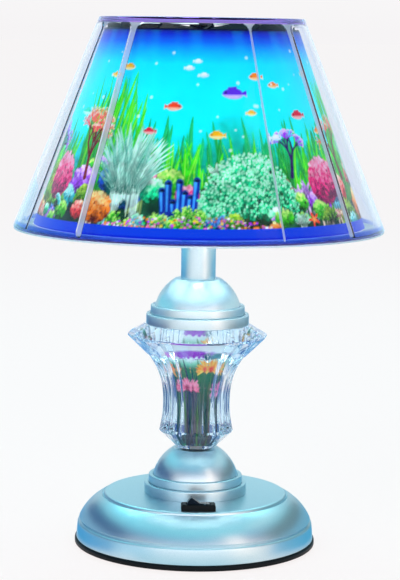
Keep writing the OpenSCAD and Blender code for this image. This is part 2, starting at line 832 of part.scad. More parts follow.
module vase_picture() {
  h = vase_h - vase_floor - 2 * seat_fit;
  widen = (hollow_top_r - hollow_low_r) / (vase_h - vase_floor);
  low_r = hollow_low_r - seat_fit;
  top_r = low_r + widen * h;
  color("seagreen") translate([0, 0, vase_z + vase_floor + seat_fit]) difference() {
    cylinder(r1 = low_r, r2 = top_r, h = h);
    translate([0, 0, -sliver])
      cylinder(r1 = low_r - picture_t, r2 = top_r - picture_t, h = h + 2 * sliver);
  }
}

module clamp_disc() {
  color("silver") translate([0, 0, mouth_z]) ring(clamp_r, rod_hole_r, clamp_t);
}

module upper_nut() {
  color("silver") translate([0, 0, mouth_z + clamp_t]) hex_nut();
}

module stem_rod() {
  color("silver") translate([0, 0, rod_low_z]) ring(rod_r, rod_bore_r, rod_top_z - rod_low_z);
}

module neck_tube() {
  color("lightsteelblue") translate([0, 0, neck_z]) ring(neck_r, neck_r - neck_wall, neck_h);
}

// Shade

module shade_carrier() {
  spigot_r = shade_inner_r - (carrier_t - seat_t) * tan(shade_slope) - seat_fit;
  section = [
    [spigot_r - carrier_ring_w, carrier_z],
    [shade_r - seat_inset, carrier_z],
    [shade_r - seat_inset, carrier_z + seat_t],
    [spigot_r, carrier_z + seat_t],
    [spigot_r, carrier_z + carrier_t],
    [spigot_r - carrier_ring_w, carrier_z + carrier_t]
  ];
  color("lavender", 0.5) {
    rotate_extrude() polygon(section);
    difference() {
      union() {
        translate([0, 0, carrier_z]) cylinder(r = hub_r, h = carrier_t);
        for (a = [45:90:315]) {
          rotate([0, 0, a]) translate([hub_r - over, -arm_w / 2, carrier_z])
            cube([spigot_r - carrier_ring_w - hub_r + 3 * over, arm_w, carrier_t]);
        }
      }
      translate([0, 0, carrier_z - over]) cylinder(r = rod_hole_r, h = carrier_t + 2 * over);
    }
  }
}

module outer_shade() {
  cavity_h = shade_h - top_flange_t;
  fall = tan(shade_slope);
  color("lavender", 0.4) translate([0, 0, shade_z]) difference() {
    cylinder(r1 = shade_r, r2 = shade_top_r, h = shade_h);
    translate([0, 0, -over])
      cylinder(r1 = shade_inner_r + over * fall, r2 = shade_inner_r - cavity_h * fall, h = cavity_h + over);
    cylinder(r = vent_r, h = shade_h + over);
    for (quarter = [0:90:270], side = [-1, 1]) {
      rotate([0, 0, shade_turn + quarter + side * wide_panel / 2 - 90])
        translate([shade_r, 0, 0]) rotate([0, -shade_slope, 0])
          translate([-groove_d, -groove_w / 2, low_band])
            cube([groove_d + over, groove_w, shade_slant - low_band - top_band]);
    }
  }
}

// Lamp

module lampholder() {
  color("whitesmoke") translate([0, 0, holder_z]) difference() {
    union() {
      cylinder(r = holder_low_r, h = holder_low_h);
      translate([0, 0, holder_low_h - over]) cylinder(r = holder_r, h = holder_h - holder_low_h + over);
    }
    translate([0, 0, -over]) cylinder(r = rod_r + thread_fit, h = holder_low_h - holder_floor + over);
    translate([0, 0, holder_low_h]) cylinder(r = cap_r + seat_fit, h = holder_h);
  }
}

module lampholder_contact() {
  color("gold") translate([0, 0, holder_z + holder_low_h]) cylinder(r = contact_r, h = contact_h);
}

module bulb_cap() {
  color("silver") translate([0, 0, cap_z]) difference() {
    union() {
      cylinder(r1 = tip_r, r2 = cap_r, h = cap_taper_h);
      translate([0, 0, cap_taper_h]) cylinder(r = cap_r, h = cap_h - cap_taper_h);
    }
    translate([0, 0, cap_taper_h + 2 * cap_wall]) cylinder(r = cap_r - cap_wall, h = cap_h);
  }
}

module bulb_glass() {
  c = [0, globe_z];
  section = concat(
    [[bulb_neck_r, bulb_z]],
    arc(c, globe_r, -bulb_throat, 90),
    arc(c, globe_r - glass_t, 90, -bulb_throat),
    [[bulb_neck_r - glass_t, bulb_z]]
  );
  color("white", 0.6) rotate_extrude() polygon(section);
}

// Drum

module needle_bracket() {
  clip_r = holder_r + thread_fit;
  color("silver") difference() {
    union() {
      translate([0, 0, clip_z]) ring(clip_r + clip_wall, clip_r, clip_h);
      for (side = [-1, 1]) {
        translate([0, 0, clip_z + clip_h / 2]) rotate([0, side * 90, 0])
          translate([0, 0, clip_r + clip_wall / 2])
            cylinder(r = wire_r, h = bracket_r - clip_r - clip_wall / 2);
        translate([side * bracket_r, 0, clip_z + clip_h / 2]) {
          sphere(r = wire_r);
          cylinder(r = wire_r, h = bracket_leg);
        }
      }
      translate([0, 0, arch_z]) rotate([90, 0, 0])
        rotate_extrude(angle = 180) translate([bracket_r, 0]) circle(r = wire_r);
      translate([0, 0, arch_z + bracket_r])
        cylinder(r = needle_boss_r, h = needle_boss_h, center = true);
    }
    translate([0, 0, needle_low_z]) cylinder(r = needle_r + thread_fit, h = needle_boss_h + bracket_r);
  }
}

module needle() {
  color("silver") translate([0, 0, needle_low_z]) {
    cylinder(r = needle_r, h = needle_top_z - needle_low_z - needle_point);
    translate([0, 0, needle_top_z - needle_low_z - needle_point])
      cylinder(r1 = needle_r, r2 = needle_tip_r, h = needle_point);
  }
}

module bearing_cup() {
  bore_r = needle_r + running_fit;
  straight = needle_depth - needle_point;
  color("goldenrod") translate([0, 0, cup_z]) difference() {
    cylinder(r = cup_r, h = cup_h);
    translate([0, 0, -over]) cylinder(r = bore_r, h = straight + over);
    translate([0, 0, straight - sliver])
      cylinder(r1 = bore_r, r2 = needle_tip_r + running_fit, h = needle_point + 2 * running_fit);
  }
}

module drum_rotor() {
  color("#15171a") difference() {
    union() {
      translate([0, 0, rotor_z]) ring(rim_r, rim_r - rim_w, rim_h);
      translate([0, 0, vane_z - rotor_hub_h / 2]) cylinder(r = rotor_hub_r, h = rotor_hub_h);
      for (k = [0:vanes - 1]) {
        translate([0, 0, vane_z]) rotate([0, 0, 360 * k / vanes]) rotate([vane_pitch, 0, 0])
          linear_extrude(vane_t, center = true)
            polygon([[rotor_hub_r - over, -vane_root], [rim_r - rim_w / 2, -vane_tip],
                     [rim_r - rim_w / 2, vane_tip], [rotor_hub_r - over, vane_root]]);
      }
    }
    translate([0, 0, cup_z - over]) cylinder(r = cup_r + thread_fit, h = cup_h + 2 * over);
  }
}

module drum_film() {
  h = film_top_z - film_z;
  color("deepskyblue") translate([0, 0, film_z]) difference() {
    cylinder(r1 = drum_r, r2 = drum_top_r, h = h);
    translate([0, 0, -sliver])
      cylinder(r1 = drum_r - film_t, r2 = drum_top_r - film_t, h = h + 2 * sliver);
  }
}

module drum_hoop() {
  low_r = drum_r - film_t - thread_fit;
  top_r = low_r - hoop_h * film_fall;
  section = [[low_r - hoop_w, 0], [low_r, 0], [top_r, hoop_h], [top_r - hoop_w, hoop_h]];
  color("midnightblue") translate([0, 0, film_z]) rotate_extrude() polygon(section);
}

base_felt();
bottom_plate();
plate_screws();
base_cover();
ballast_disc();
lock_washer();
lower_nut();
cord_grommet();
terminal_block();
lead_live();
lead_neutral();
lead_switch();
switch_body();
switch_rocker();
switch_plunger();
switch_lever();
switch_terminals();
lower_dome();
vase_gasket();
crystal_vase();
vase_picture();
clamp_disc();
upper_nut();
upper_dome();
stem_rod();
neck_tube();
shade_carrier();
outer_shade();
lampholder();
lampholder_contact();
bulb_cap();
bulb_glass();
needle_bracket();
needle();
bearing_cup();
drum_rotor();
drum_film();
drum_hoop();
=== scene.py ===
# Table lamp: clear ribbed shade, printed drum inside it, faceted vase, silver-blue base
import json
from math import asin, atan, atan2, cos, degrees, hypot, pi, radians, sin, sqrt

import bmesh
import bpy
import numpy as np
from mathutils import Matrix, Vector


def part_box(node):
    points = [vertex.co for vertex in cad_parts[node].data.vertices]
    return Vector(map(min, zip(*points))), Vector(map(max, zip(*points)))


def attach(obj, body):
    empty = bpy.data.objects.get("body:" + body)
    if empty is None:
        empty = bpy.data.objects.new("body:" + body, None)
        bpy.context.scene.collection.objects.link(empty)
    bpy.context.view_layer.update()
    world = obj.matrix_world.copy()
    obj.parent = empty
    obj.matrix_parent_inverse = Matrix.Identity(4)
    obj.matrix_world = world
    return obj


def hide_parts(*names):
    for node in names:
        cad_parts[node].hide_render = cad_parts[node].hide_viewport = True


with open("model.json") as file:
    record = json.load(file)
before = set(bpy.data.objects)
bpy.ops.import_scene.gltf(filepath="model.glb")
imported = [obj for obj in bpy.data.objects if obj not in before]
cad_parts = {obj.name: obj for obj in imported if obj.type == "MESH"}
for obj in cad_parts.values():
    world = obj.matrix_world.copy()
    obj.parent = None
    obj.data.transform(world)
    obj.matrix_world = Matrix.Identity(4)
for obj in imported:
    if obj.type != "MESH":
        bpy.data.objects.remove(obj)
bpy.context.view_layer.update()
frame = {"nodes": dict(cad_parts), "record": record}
scene = bpy.context.scene
scene.view_settings.view_transform = "Standard"
mm = 0.001
edgeAngle, nodeAngle = 32, 30  # degrees: faces that meet at more stay sharp, on made pieces and plain nodes
weldGap, nodeGap = 2e-7, 1e-6  # m: points closer than this become one
rng = np.random.default_rng(11)
print("frame loaded:", len(frame["nodes"]), "nodes")


def hexColor(code):
    parts = [int(code[i:i + 2], 16) / 255 for i in (1, 3, 5)]
    return [c / 12.92 if c <= 0.04045 else ((c + 0.055) / 1.055) ** 2.4 for c in parts] + [1.0]


def ink(code):
    return np.array(hexColor(code)[:3])


def blend(first, second, share):
    return ink(first) * (1 - share) + ink(second) * share


# each value is a number, a colour code, a socket, or a node for its first output
def setSockets(owner, node, sockets):
    for key, value in sockets.items():
        if isinstance(value, bpy.types.Node):
            value = value.outputs[0]
        if isinstance(value, bpy.types.NodeSocket):
            owner.node_tree.links.new(value, node.inputs[key])
        else:
            node.inputs[key].default_value = hexColor(value) if isinstance(value, str) else value


def addNode(owner, kind, sockets=None, **settings):
    node = owner.node_tree.nodes.new(kind)
    for key, value in settings.items():
        setattr(node, key, value)
    setSockets(owner, node, sockets or {})
    return node


# colours along a value from 0 to 1
def ramp(owner, value, stops):
    node = addNode(owner, "ShaderNodeValToRGB", {"Fac": value})
    for i, (place, code) in enumerate(stops):
        stop = node.color_ramp.elements[i] if i < 2 else node.color_ramp.elements.new(place)
        stop.position, stop.color = place, hexColor(code)
    return node.outputs["Color"]


# 0 to 1 over a span of a value
def spread(owner, value, first, last):
    ends = {"Value": value, "From Min": first, "From Max": last}
    return addNode(owner, "ShaderNodeMapRange", ends).outputs["Result"]


def axes(owner, kind):
    place = addNode(owner, "ShaderNodeTexCoord").outputs[kind]
    return addNode(owner, "ShaderNodeSeparateXYZ", {"Vector": place}).outputs


def startMaterial(name, finish):
    mat = bpy.data.materials.new(name)
    mat.use_nodes = True
    shader = mat.node_tree.nodes["Principled BSDF"]
    setSockets(mat, shader, finish)
    return mat, shader


def setOutput(mat, **sockets):
    setSockets(mat, mat.node_tree.nodes["Material Output"], sockets)


# One plain surface: dark and light tone, grain in mm, roughness range and the shader's own settings;
# bump is how strongly the grain stands out, stretch draws it out along the axes that have 1
def grainFinish(name, dark, light, grain, rough, settings, bump=0.0, stretch=None):
    mat, shader = startMaterial(name, settings)
    place = addNode(mat, "ShaderNodeTexCoord").outputs["Object"]
    if stretch:
        place = addNode(mat, "ShaderNodeVectorMath", {0: place, 1: stretch}, operation="MULTIPLY")
    noise = addNode(mat, "ShaderNodeTexNoise", {"Vector": place, "Scale": 1 / (grain * mm), "Detail": 3.0})
    gloss = addNode(mat, "ShaderNodeMapRange", {"Value": noise, "From Min": 0.3, "From Max": 0.7,
                                                "To Min": rough[0], "To Max": rough[1]})
    setSockets(mat, shader, {"Base Color": ramp(mat, noise, [(0.32, dark), (0.68, light)]), "Roughness": gloss})
    if bump:
        relief = addNode(mat, "ShaderNodeBump", {"Height": noise, "Strength": bump, "Distance": grain * mm * 0.3})
        setSockets(mat, shader, {"Normal": relief})
    return mat


def newObject(name, data):
    piece = bpy.data.objects.new(name, data)
    scene.collection.objects.link(piece)
    return piece


def meshPiece(name, points, faces, materials, sharp=edgeAngle):
    mesh = bpy.data.meshes.new(name)
    mesh.from_pydata((np.asarray(points) * mm).tolist(), [], faces)
    piece = newObject(name, mesh)
    for material in materials:
        mesh.materials.append(material)
    finishMesh(piece, sharp)
    return piece


def finishMesh(piece, sharp):
    work = bmesh.new()
    work.from_mesh(piece.data)
    bmesh.ops.remove_doubles(work, verts=work.verts, dist=weldGap)
    bmesh.ops.recalc_face_normals(work, faces=work.faces)
    work.to_mesh(piece.data)
    work.free()
    piece.data.shade_smooth()
    piece.data.set_sharp_from_angle(angle=radians(sharp))


def standFor(piece, body, slot, *nodes):
    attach(piece, body)
    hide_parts(*nodes)


def arcPoints(centre, radius, start, end, steps):
    sweep = np.radians(np.linspace(start, end, steps + 1))
    return [(centre[0] + radius * cos(a), centre[1] + radius * sin(a), 0) for a in sweep]


# corners are (radius, height, rounding) in mm going round the section
def softOutline(corners):
    outline = []
    for i, (r, z, rounding) in enumerate(corners):
        here = np.array((r, z), float)
        if rounding <= 0:
            outline.append(here)
            continue
        back = np.array(corners[i - 1][:2], float) - here
        ahead = np.array(corners[(i + 1) % len(corners)][:2], float) - here
        toBack, toAhead = np.linalg.norm(back), np.linalg.norm(ahead)
        reach = min(rounding, 0.48 * toBack, 0.48 * toAhead)
        a, b = here + back / toBack * reach, here + ahead / toAhead * reach
        for t in np.linspace(0, 1, 6):
            outline.append((1 - t) ** 2 * a + 2 * t * (1 - t) * here + t * t * b)
    return np.array(outline)


# a flat sheet between two corners, upright or lying
def panel(name, low, high, material):
    (x0, y0, z0), (x1, y1, z1) = low, high
    corners = [(x0, y0, z0), (x1, y1, z0), (x1, y1, z1), (x0, y0, z1)]
    if z1 == z0:
        corners = [(x0, y0, z0), (x1, y0, z0), (x1, y1, z0), (x0, y1, z0)]
    return meshPiece(name, corners, [(0, 1, 2, 3)], [material])


def ringFaces(rows, sides):
    faces = []
    for i in range(rows):
        a, b = i * sides, (i + 1) % rows * sides
        faces += [(a + j, a + (j + 1) % sides, b + (j + 1) % sides, b + j) for j in range(sides)]
    return faces


# points round the axis; turn 0 faces the viewer
def roundPoints(r, turn, z):
    return np.stack([r * np.sin(turn), -r * np.cos(turn), z + 0 * turn], -1).reshape(-1, 3)


def lathe(name, outline, material, sides):
    turn = np.linspace(0, 2 * pi, sides, endpoint=False)
    r, z = outline[:, :1], outline[:, 1:2]
    return meshPiece(name, roundPoints(r, turn, z), ringFaces(len(outline), sides), [material])


# Camera at the photograph's viewing angle
view = {"at": (-63.4, -1451.4, 381.5), "turn": -2.559, "tilt": -7.497, "roll": 0.868, "lens": 122.94, "clipEnd": 200}
camera = newObject("camera", bpy.data.cameras.new("camera"))
camera.data.lens, camera.data.clip_end = view["lens"], view["clipEnd"]
camera.matrix_world = Matrix.Translation([v * mm for v in view["at"]])
for angle, axis in ((view["turn"], "Z"), (90 + view["tilt"], "X"), (view["roll"], "Z")):
    camera.matrix_world = camera.matrix_world @ Matrix.Rotation(radians(angle), 4, axis)
scene.camera = camera

# Studio: white round the horizon, cooler higher up, with a bright cyan-white ceiling
studio = {
    # sky from the horizon up, in front and behind, and the span of Y where it changes
    "front": [(0.0, "#ffffff"), (0.3, "#fbf0f4"), (0.45, "#ccc6d2"), (0.56, "#9aa6c2"), (0.66, "#78aacc"),
              (0.76, "#76ceea"), (0.86, "#8cf0fa"), (1.0, "#a2f6fc")],
    "back": [(0.0, "#f6f4f5"), (0.045, "#fafafa"), (0.08, "#f4f5f7"), (0.25, "#d8dee6"), (0.5, "#9cdcec"),
             (1.0, "#a2f6fc")],
    "skyTurn": (-0.1, 0.3),
    # most bounces in all, off shiny and through clear parts, which light runs far inside
    "bounces": (40, 28, 28),
    # floor: half size and drop in mm, own glow, colour as seen; near and far colour through glass, how far in m
    "floorHalf": 6e4, "floorDrop": 0.1, "floorGlow": 0.88, "floorSeen": "#fff8f7",
    "floorThroughGlass": ("#dcf2ff", "#f2eef8"), "floorAway": (0.9, 1.6),
    # lamp name, place and aim in m, width and height in m, brightness, colour, seen in reflections
    "lamps": (("softboxKey", (-1.5, -1.6, 1.9), (0, 0, 0.15), (1.4, 0.9), 4.0, "#ffffff", False),
              ("softboxTop", (0, 0.9, 1.6), (0, 0, 0.1), (1.8, 1.0), 2.9, "#a0f8fa", True),
              ("softboxLow", (0.05, -1.25, 0.4), (0, 0, 0.14), (3.0, 0.6), 0.9, "#fff6f8", True)),
    # coloured cards that only shiny or only clear parts see: two corners in mm, colour, brightness if not 1
    "cards": {"shiny": (
        ("cardLeft", (-200, -100, 70), (-200, 300, 150), "#223c7c"),
        ("cardRight", (200, -100, 70), (200, 300, 145), "#6c7a7c"),
        ("cardHighLeft", (-200, -100, 192), (-200, 220, 290), "#8ceafc"),
        ("cardHighRight", (200, -100, 192), (200, 220, 290), "#dcf2f4"),
        ("cardLowLeft", (-200, -100, 1), (-200, 300, 70), "#94bcd6"),
        ("cardLowRight", (200, -100, 1), (200, 300, 70), "#84bcd4"),
        ("cardFrontLeft", (-200, -260, 1), (-200, -100, 70), "#c4ecff"),
        ("stripRight", (514, -747, 1), (678, -601, 1000), "#ffdccc", 2.5),
        ("paperStrip", (100, -360, 0.4), (280, -110, 0.4), "#ffe9dd", 1.5),
        ("paperLeft", (-3000, -70, 0.4), (-98, 2500, 0.4), "#2aa2da"),
        ("paperRight", (98, -100, 0.4), (3000, 2500, 0.4), "#3eacd6"),
        ("paperFrontLeft", (-320, -230, 0.4), (-100, -70, 0.4), "#b8e8ff"),
        ("paperFront", (-100, -235, 0.4), (100, -93, 0.4), "#94c8d4"),
        ("paperFar", (-150, -900, 0.4), (150, -235, 0.4), "#ffffff"),
    ), "clear": (
        ("flagLeft", (-240, 250, 10), (-60, 250, 128), "#22488e"),
        ("flagRight", (60, 250, 10), (240, 250, 128), "#305890"),
        ("flagSideLeft", (-180, -60, 20), (-180, 250, 128), "#34589c"),
        ("flagSideRight", (180, -60, 20), (180, 250, 128), "#4a6ea6"),
    )},
}
world = scene.world = bpy.data.worlds.new("studio")
world.use_nodes = True
way = axes(world, "Generated")
sky = addNode(world, "ShaderNodeMix", {
    "Factor": spread(world, way["Y"], *studio["skyTurn"]), 6: ramp(world, way["Z"], studio["front"]),
    7: ramp(world, way["Z"], studio["back"])}, data_type="RGBA")
setSockets(world, world.node_tree.nodes["Background"], {"Color": sky.outputs[2]})

for name, at, aim, (wide, tall), bright, code, mirrored in studio["lamps"]:
    lamp = newObject(name, bpy.data.lights.new(name, "AREA"))
    lamp.data.shape, lamp.data.size, lamp.data.size_y = "RECTANGLE", wide, tall
    lamp.data.energy, lamp.data.color = bright * pi * wide * tall, hexColor(code)[:3]
    lamp.location = at
    lamp.rotation_euler = (Vector(aim) - lamp.location).to_track_quat("-Z", "Y").to_euler()
    lamp.visible_camera = lamp.visible_transmission = False
    lamp.visible_glossy = mirrored
for seenBy, cards in studio["cards"].items():
    for name, low, high, code, *bright in cards:
        cardMat = startMaterial(name, {"Base Color": "#000000", "Emission Color": code,
                                       "Emission Strength": bright[0] if bright else 1.0})[0]
        studioCard = panel(name, low, high, cardMat)
        studioCard.visible_camera = studioCard.visible_diffuse = studioCard.visible_shadow = False
        studioCard.visible_glossy = seenBy == "shiny"
        studioCard.visible_transmission = seenBy == "clear"
cycles = scene.cycles
cycles.max_bounces, cycles.glossy_bounces, cycles.transmission_bounces = studio["bounces"]

# White paper floor: seen as white, and still takes the lamp's shadow
floorMat, floorShader = startMaterial("whitePaper", {"Base Color": "#f4f6f8", "Roughness": 0.9})
path = addNode(floorMat, "ShaderNodeLightPath").outputs
through = path["Is Transmission Ray"]
seen = addNode(floorMat, "ShaderNodeMath", {0: path["Is Camera Ray"], 1: path["Is Glossy Ray"]}, operation="MAXIMUM")
seen = addNode(floorMat, "ShaderNodeMath", {0: seen, 1: through}, operation="MAXIMUM")
share = addNode(floorMat, "ShaderNodeMath", {0: seen, 1: studio["floorGlow"]}, operation="MULTIPLY")
white = addNode(floorMat, "ShaderNodeEmission", {"Color": studio["floorSeen"]})
away = spread(floorMat, axes(floorMat, "Object")["Y"], *studio["floorAway"])
cool = addNode(floorMat, "ShaderNodeEmission", {
    "Color": ramp(floorMat, away, enumerate(studio["floorThroughGlass"]))})
glow = addNode(floorMat, "ShaderNodeMixShader", {0: through, 1: white, 2: cool})
paper = addNode(floorMat, "ShaderNodeMixShader", {0: share, 1: floorShader, 2: glow})
setOutput(floorMat, Surface=paper)
half, drop = studio["floorHalf"], studio["floorDrop"]
floor = panel("floor", (-half, -half, -drop), (half, half, -drop), floorMat)
print("camera, studio and floor set")

# Finish of each material slot, as grainFinish takes it
slotLook = {
    # Silver-blue lacquer sprayed on moulded ABS: satin metal with a fine flake, drawn coarser than the real 0.1 mm
    "silver_paint": ("silverLacquer", "#c6dce4", "#d4e6ed", 0.5, (0.32, 0.38),
                     {"Metallic": 1.0, "Specular Tint": "#e2eff4"}),
    # Black ABS, moulded with a fine spark texture: dull black with a soft sheen
    "black_abs": ("blackAbs", "#03060a", "#070b10", 0.5, (0.42, 0.52),
                  {"IOR": 1.53, "Specular IOR Level": 0.14}, 0.05),
    # Black ABS from a polished mould: glossy, with clear highlights along its edges
    "black_gloss": ("blackGloss", "#04070b", "#080c12", 2.0, (0.14, 0.2), {"IOR": 1.53, "Specular Tint": "#5a7898"}),
    # Moulded rubber: near black, no shine
    "black_rubber": ("blackRubber", "#101216", "#1b1e23", 0.7, (0.6, 0.75), {"IOR": 1.5}, 0.1),
    # Pressed wool felt: dark, fuzzy, no highlight; fibres drawn about 0.6 mm apart
    "felt": ("woolFelt", "#16191d", "#2e343a", 0.6, (0.9, 1.0), {"Sheen Weight": 0.4, "Sheen Roughness": 0.6}, 0.5),
    # Zinc plated steel: grey with a faint yellow-blue cloud
    "zinc_steel": ("zincSteel", "#9aa0a4", "#c3c6c4", 3.0, (0.3, 0.42), {"Metallic": 1.0}),
    # Raw mild steel, rolled and cut: darker, with a grain along the rolling
    "raw_steel": ("rawSteel", "#6e7276", "#8d9196", 1.5, (0.4, 0.55), {"Metallic": 1.0}, 0, (1, 8, 8)),
    # Turned brass: warm, with faint turning marks
    "brass": ("turnedBrass", "#b98f45", "#d3ad62", 0.8, (0.24, 0.36), {"Metallic": 1.0}, 0, (1, 1, 6)),
    # Natural nylon: ivory, slightly waxy
    "ivory_nylon": ("ivoryNylon", "#e2dcc6", "#efe9d8", 1.5, (0.42, 0.52),
                    {"IOR": 1.53, "Subsurface Weight": 0.1, "Subsurface Radius": (0.002, 0.0015, 0.001)}),
    # White bakelite, pressed: hard, cream white, low shine
    "white_bakelite": ("whiteBakelite", "#e4e3dd", "#f2f1ec", 1.2, (0.3, 0.4), {"IOR": 1.6}),
    # PVC lead covers, extruded: plain colour, soft shine
    "brown_pvc": ("brownPvc", "#5a3620", "#6b422a", 1.0, (0.4, 0.5), {"IOR": 1.53}),
    "blue_pvc": ("bluePvc", "#1d4f9e", "#2a62b5", 1.0, (0.4, 0.5), {"IOR": 1.53}),
    # Blue moulded plastic of the hoop: plain colour, soft shine
    "blue_plastic": ("bluePlastic", "#0a3bc4", "#1450e0", 1.0, (0.35, 0.45), {"IOR": 1.5}),
    # Aluminium sheet painted black, stamped vanes: thin dull black
    "black_aluminium": ("blackAluminium", "#020304", "#060709", 0.8, (0.5, 0.65), {"Specular IOR Level": 0.02}),
    # Drawn aluminium shell of the bulb cap: bright, with faint drawing marks
    "aluminium": ("drawnAluminium", "#b4b8bc", "#d2d6d9", 1.0, (0.22, 0.34), {"Metallic": 1.0}, 0, (1, 1, 6)),
    # Opal glass of the lit bulb: milky white, glowing evenly
    "opal_glass": ("opalGlass", "#eef0f2", "#fafafa", 6.0, (0.16, 0.24),
                   {"IOR": 1.52, "Emission Color": "#fbfaf8", "Emission Strength": 15.0}),
}
slotFinish = {slot: grainFinish(*look) for slot, look in slotLook.items()}
# Frosted acrylic of the carrier, moulded with a matt face: milky, lets light through
carrierAcrylic = grainFinish("carrierAcrylic", "#eef2f8", "#f8fafd", 1.5, (0.34, 0.42),
                             {"IOR": 1.49, "Transmission Weight": 0.6})
# Bare inside of the printed film and card: milky, with a cast of the blue inks
filmBack = grainFinish("milkyFilm", "#e6f2f2", "#f2faf8", 4.0, (0.4, 0.5), {"IOR": 1.5})


# Clear acrylic, moulded and polished: lamp light passes as in air, and the tint grows with depth
def clearAcrylic(name, look):
    mat, shader = startMaterial(name, {
        "Base Color": look.get("color", "#ffffff"), "Roughness": look["rough"], "IOR": 1.49,
        "Transmission Weight": look.get("clear", 1.0), "Specular Tint": look.get("mirror", "#ffffff"),
        "Sheen Weight": look.get("haze", 0.0), "Sheen Roughness": 0.3, "Sheen Tint": "#e8e2f4"})
    if "edges" in look:  # the rims get colours painted by height: violet edge tint, and at the foot a painted blue that stands in for the print band seen through the rim
        bottom, top = look["span"]
        rise = spread(mat, axes(mat, "Object")["Z"], bottom * mm, top * mm)
        setSockets(mat, shader, {"Base Color": ramp(mat, rise, look["edges"])})
    shadowRay = addNode(mat, "ShaderNodeLightPath").outputs["Is Shadow Ray"]
    through = addNode(mat, "ShaderNodeBsdfTransparent", {"Color": "#f6f6fa"})
    mix = addNode(mat, "ShaderNodeMixShader", {0: shadowRay, 1: shader, 2: through})
    depthTint = addNode(mat, "ShaderNodeVolumeAbsorption", {"Color": look["tint"], "Density": look["density"]})
    setOutput(mat, Surface=mix, Volume=depthTint)
    return mat


shadeTint = {"tint": "#ae22f2", "density": 4.0}
# The shade is violet in its depth and hazy on its faces, with a violet head; the blue at its foot is painted,
# standing in for the print band seen through the rim
shadeAcrylic = clearAcrylic("shadeAcrylic", shadeTint | {
    "rough": 0.02, "haze": 1.0, "mirror": "#5c5c7c", "span": (237.4, 390.0),
    "edges": [(0.0, "#5a3a90"), (0.006, "#6a4aa8"), (0.009, "#4a70f0"), (0.03, "#6288f4"), (0.036, "#ffffff"),
              (0.972, "#ffffff"), (0.977, "#a476e6"), (0.988, "#cca6f8"), (1.0, "#a476e6")]})
# The grooves keep the mould's fine matt: they scatter light into pale lavender lines
grooveAcrylic = clearAcrylic("grooveAcrylic", shadeTint | {"rough": 0.3, "clear": 0.66, "color": "#f6f3ff"})
# Painted shade: a thin dark line on the steep side of a broad strip, standing in for the light that its refraction
# bends away
paintedShadeAcrylic = clearAcrylic("paintedShadeAcrylic", shadeTint | {"rough": 0.1, "color": "#1c1a2c"})
# The vase is polished and cool where it is thick
vaseAcrylic = clearAcrylic("vaseAcrylic", {"rough": 0.01, "tint": "#78c8fc", "density": 3.5})
slotFinish["clear_acrylic"] = vaseAcrylic

slotOf = {part["node"]: part["material_slot"] for part in frame["record"]["subparts"]}
for name, node in frame["nodes"].items():
    finish = carrierAcrylic if name == "shade_carrier" else slotFinish.get(slotOf.get(name))
    if finish:
        node.data.materials.clear()
        node.data.materials.append(finish)
    node.data.shade_smooth()
    node.data.set_sharp_from_angle(angle=radians(nodeAngle))
print("finishes made for", len(slotOf), "nodes")


def smoothStep(low, high, value):
    t = np.clip((value - low) / (high - low), 0, 1)
    return t * t * (3 - 2 * t)


# Clear shade: four broad strips and four fine grooves set off wide and narrow panels below a plain top band
shadeForm = {
    # mm, and degrees for sharp, turn and halfWide
    "wall": 3.238, "topR": 74.5, "flange": 3.6, "vent": 64.0, "rim": 0.8, "lift": 0.05, "sharp": 50,
    "turn": -8.6, "halfWide": 31.7, "stripHalf": 2.4, "grooveHalf": 1.0, "grooveDeep": 0.8, "flank": 0.8,
    "topBand": 3.7, "topLine": 0.9, "corner": 6.0, "darkReach": 6, "darkBelow": 13, "topFade": 0.7,
    "footFade": (1.2, 3.6), "panelPoints": (16, 26),
}
low, high = (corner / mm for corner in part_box("outer_shade"))


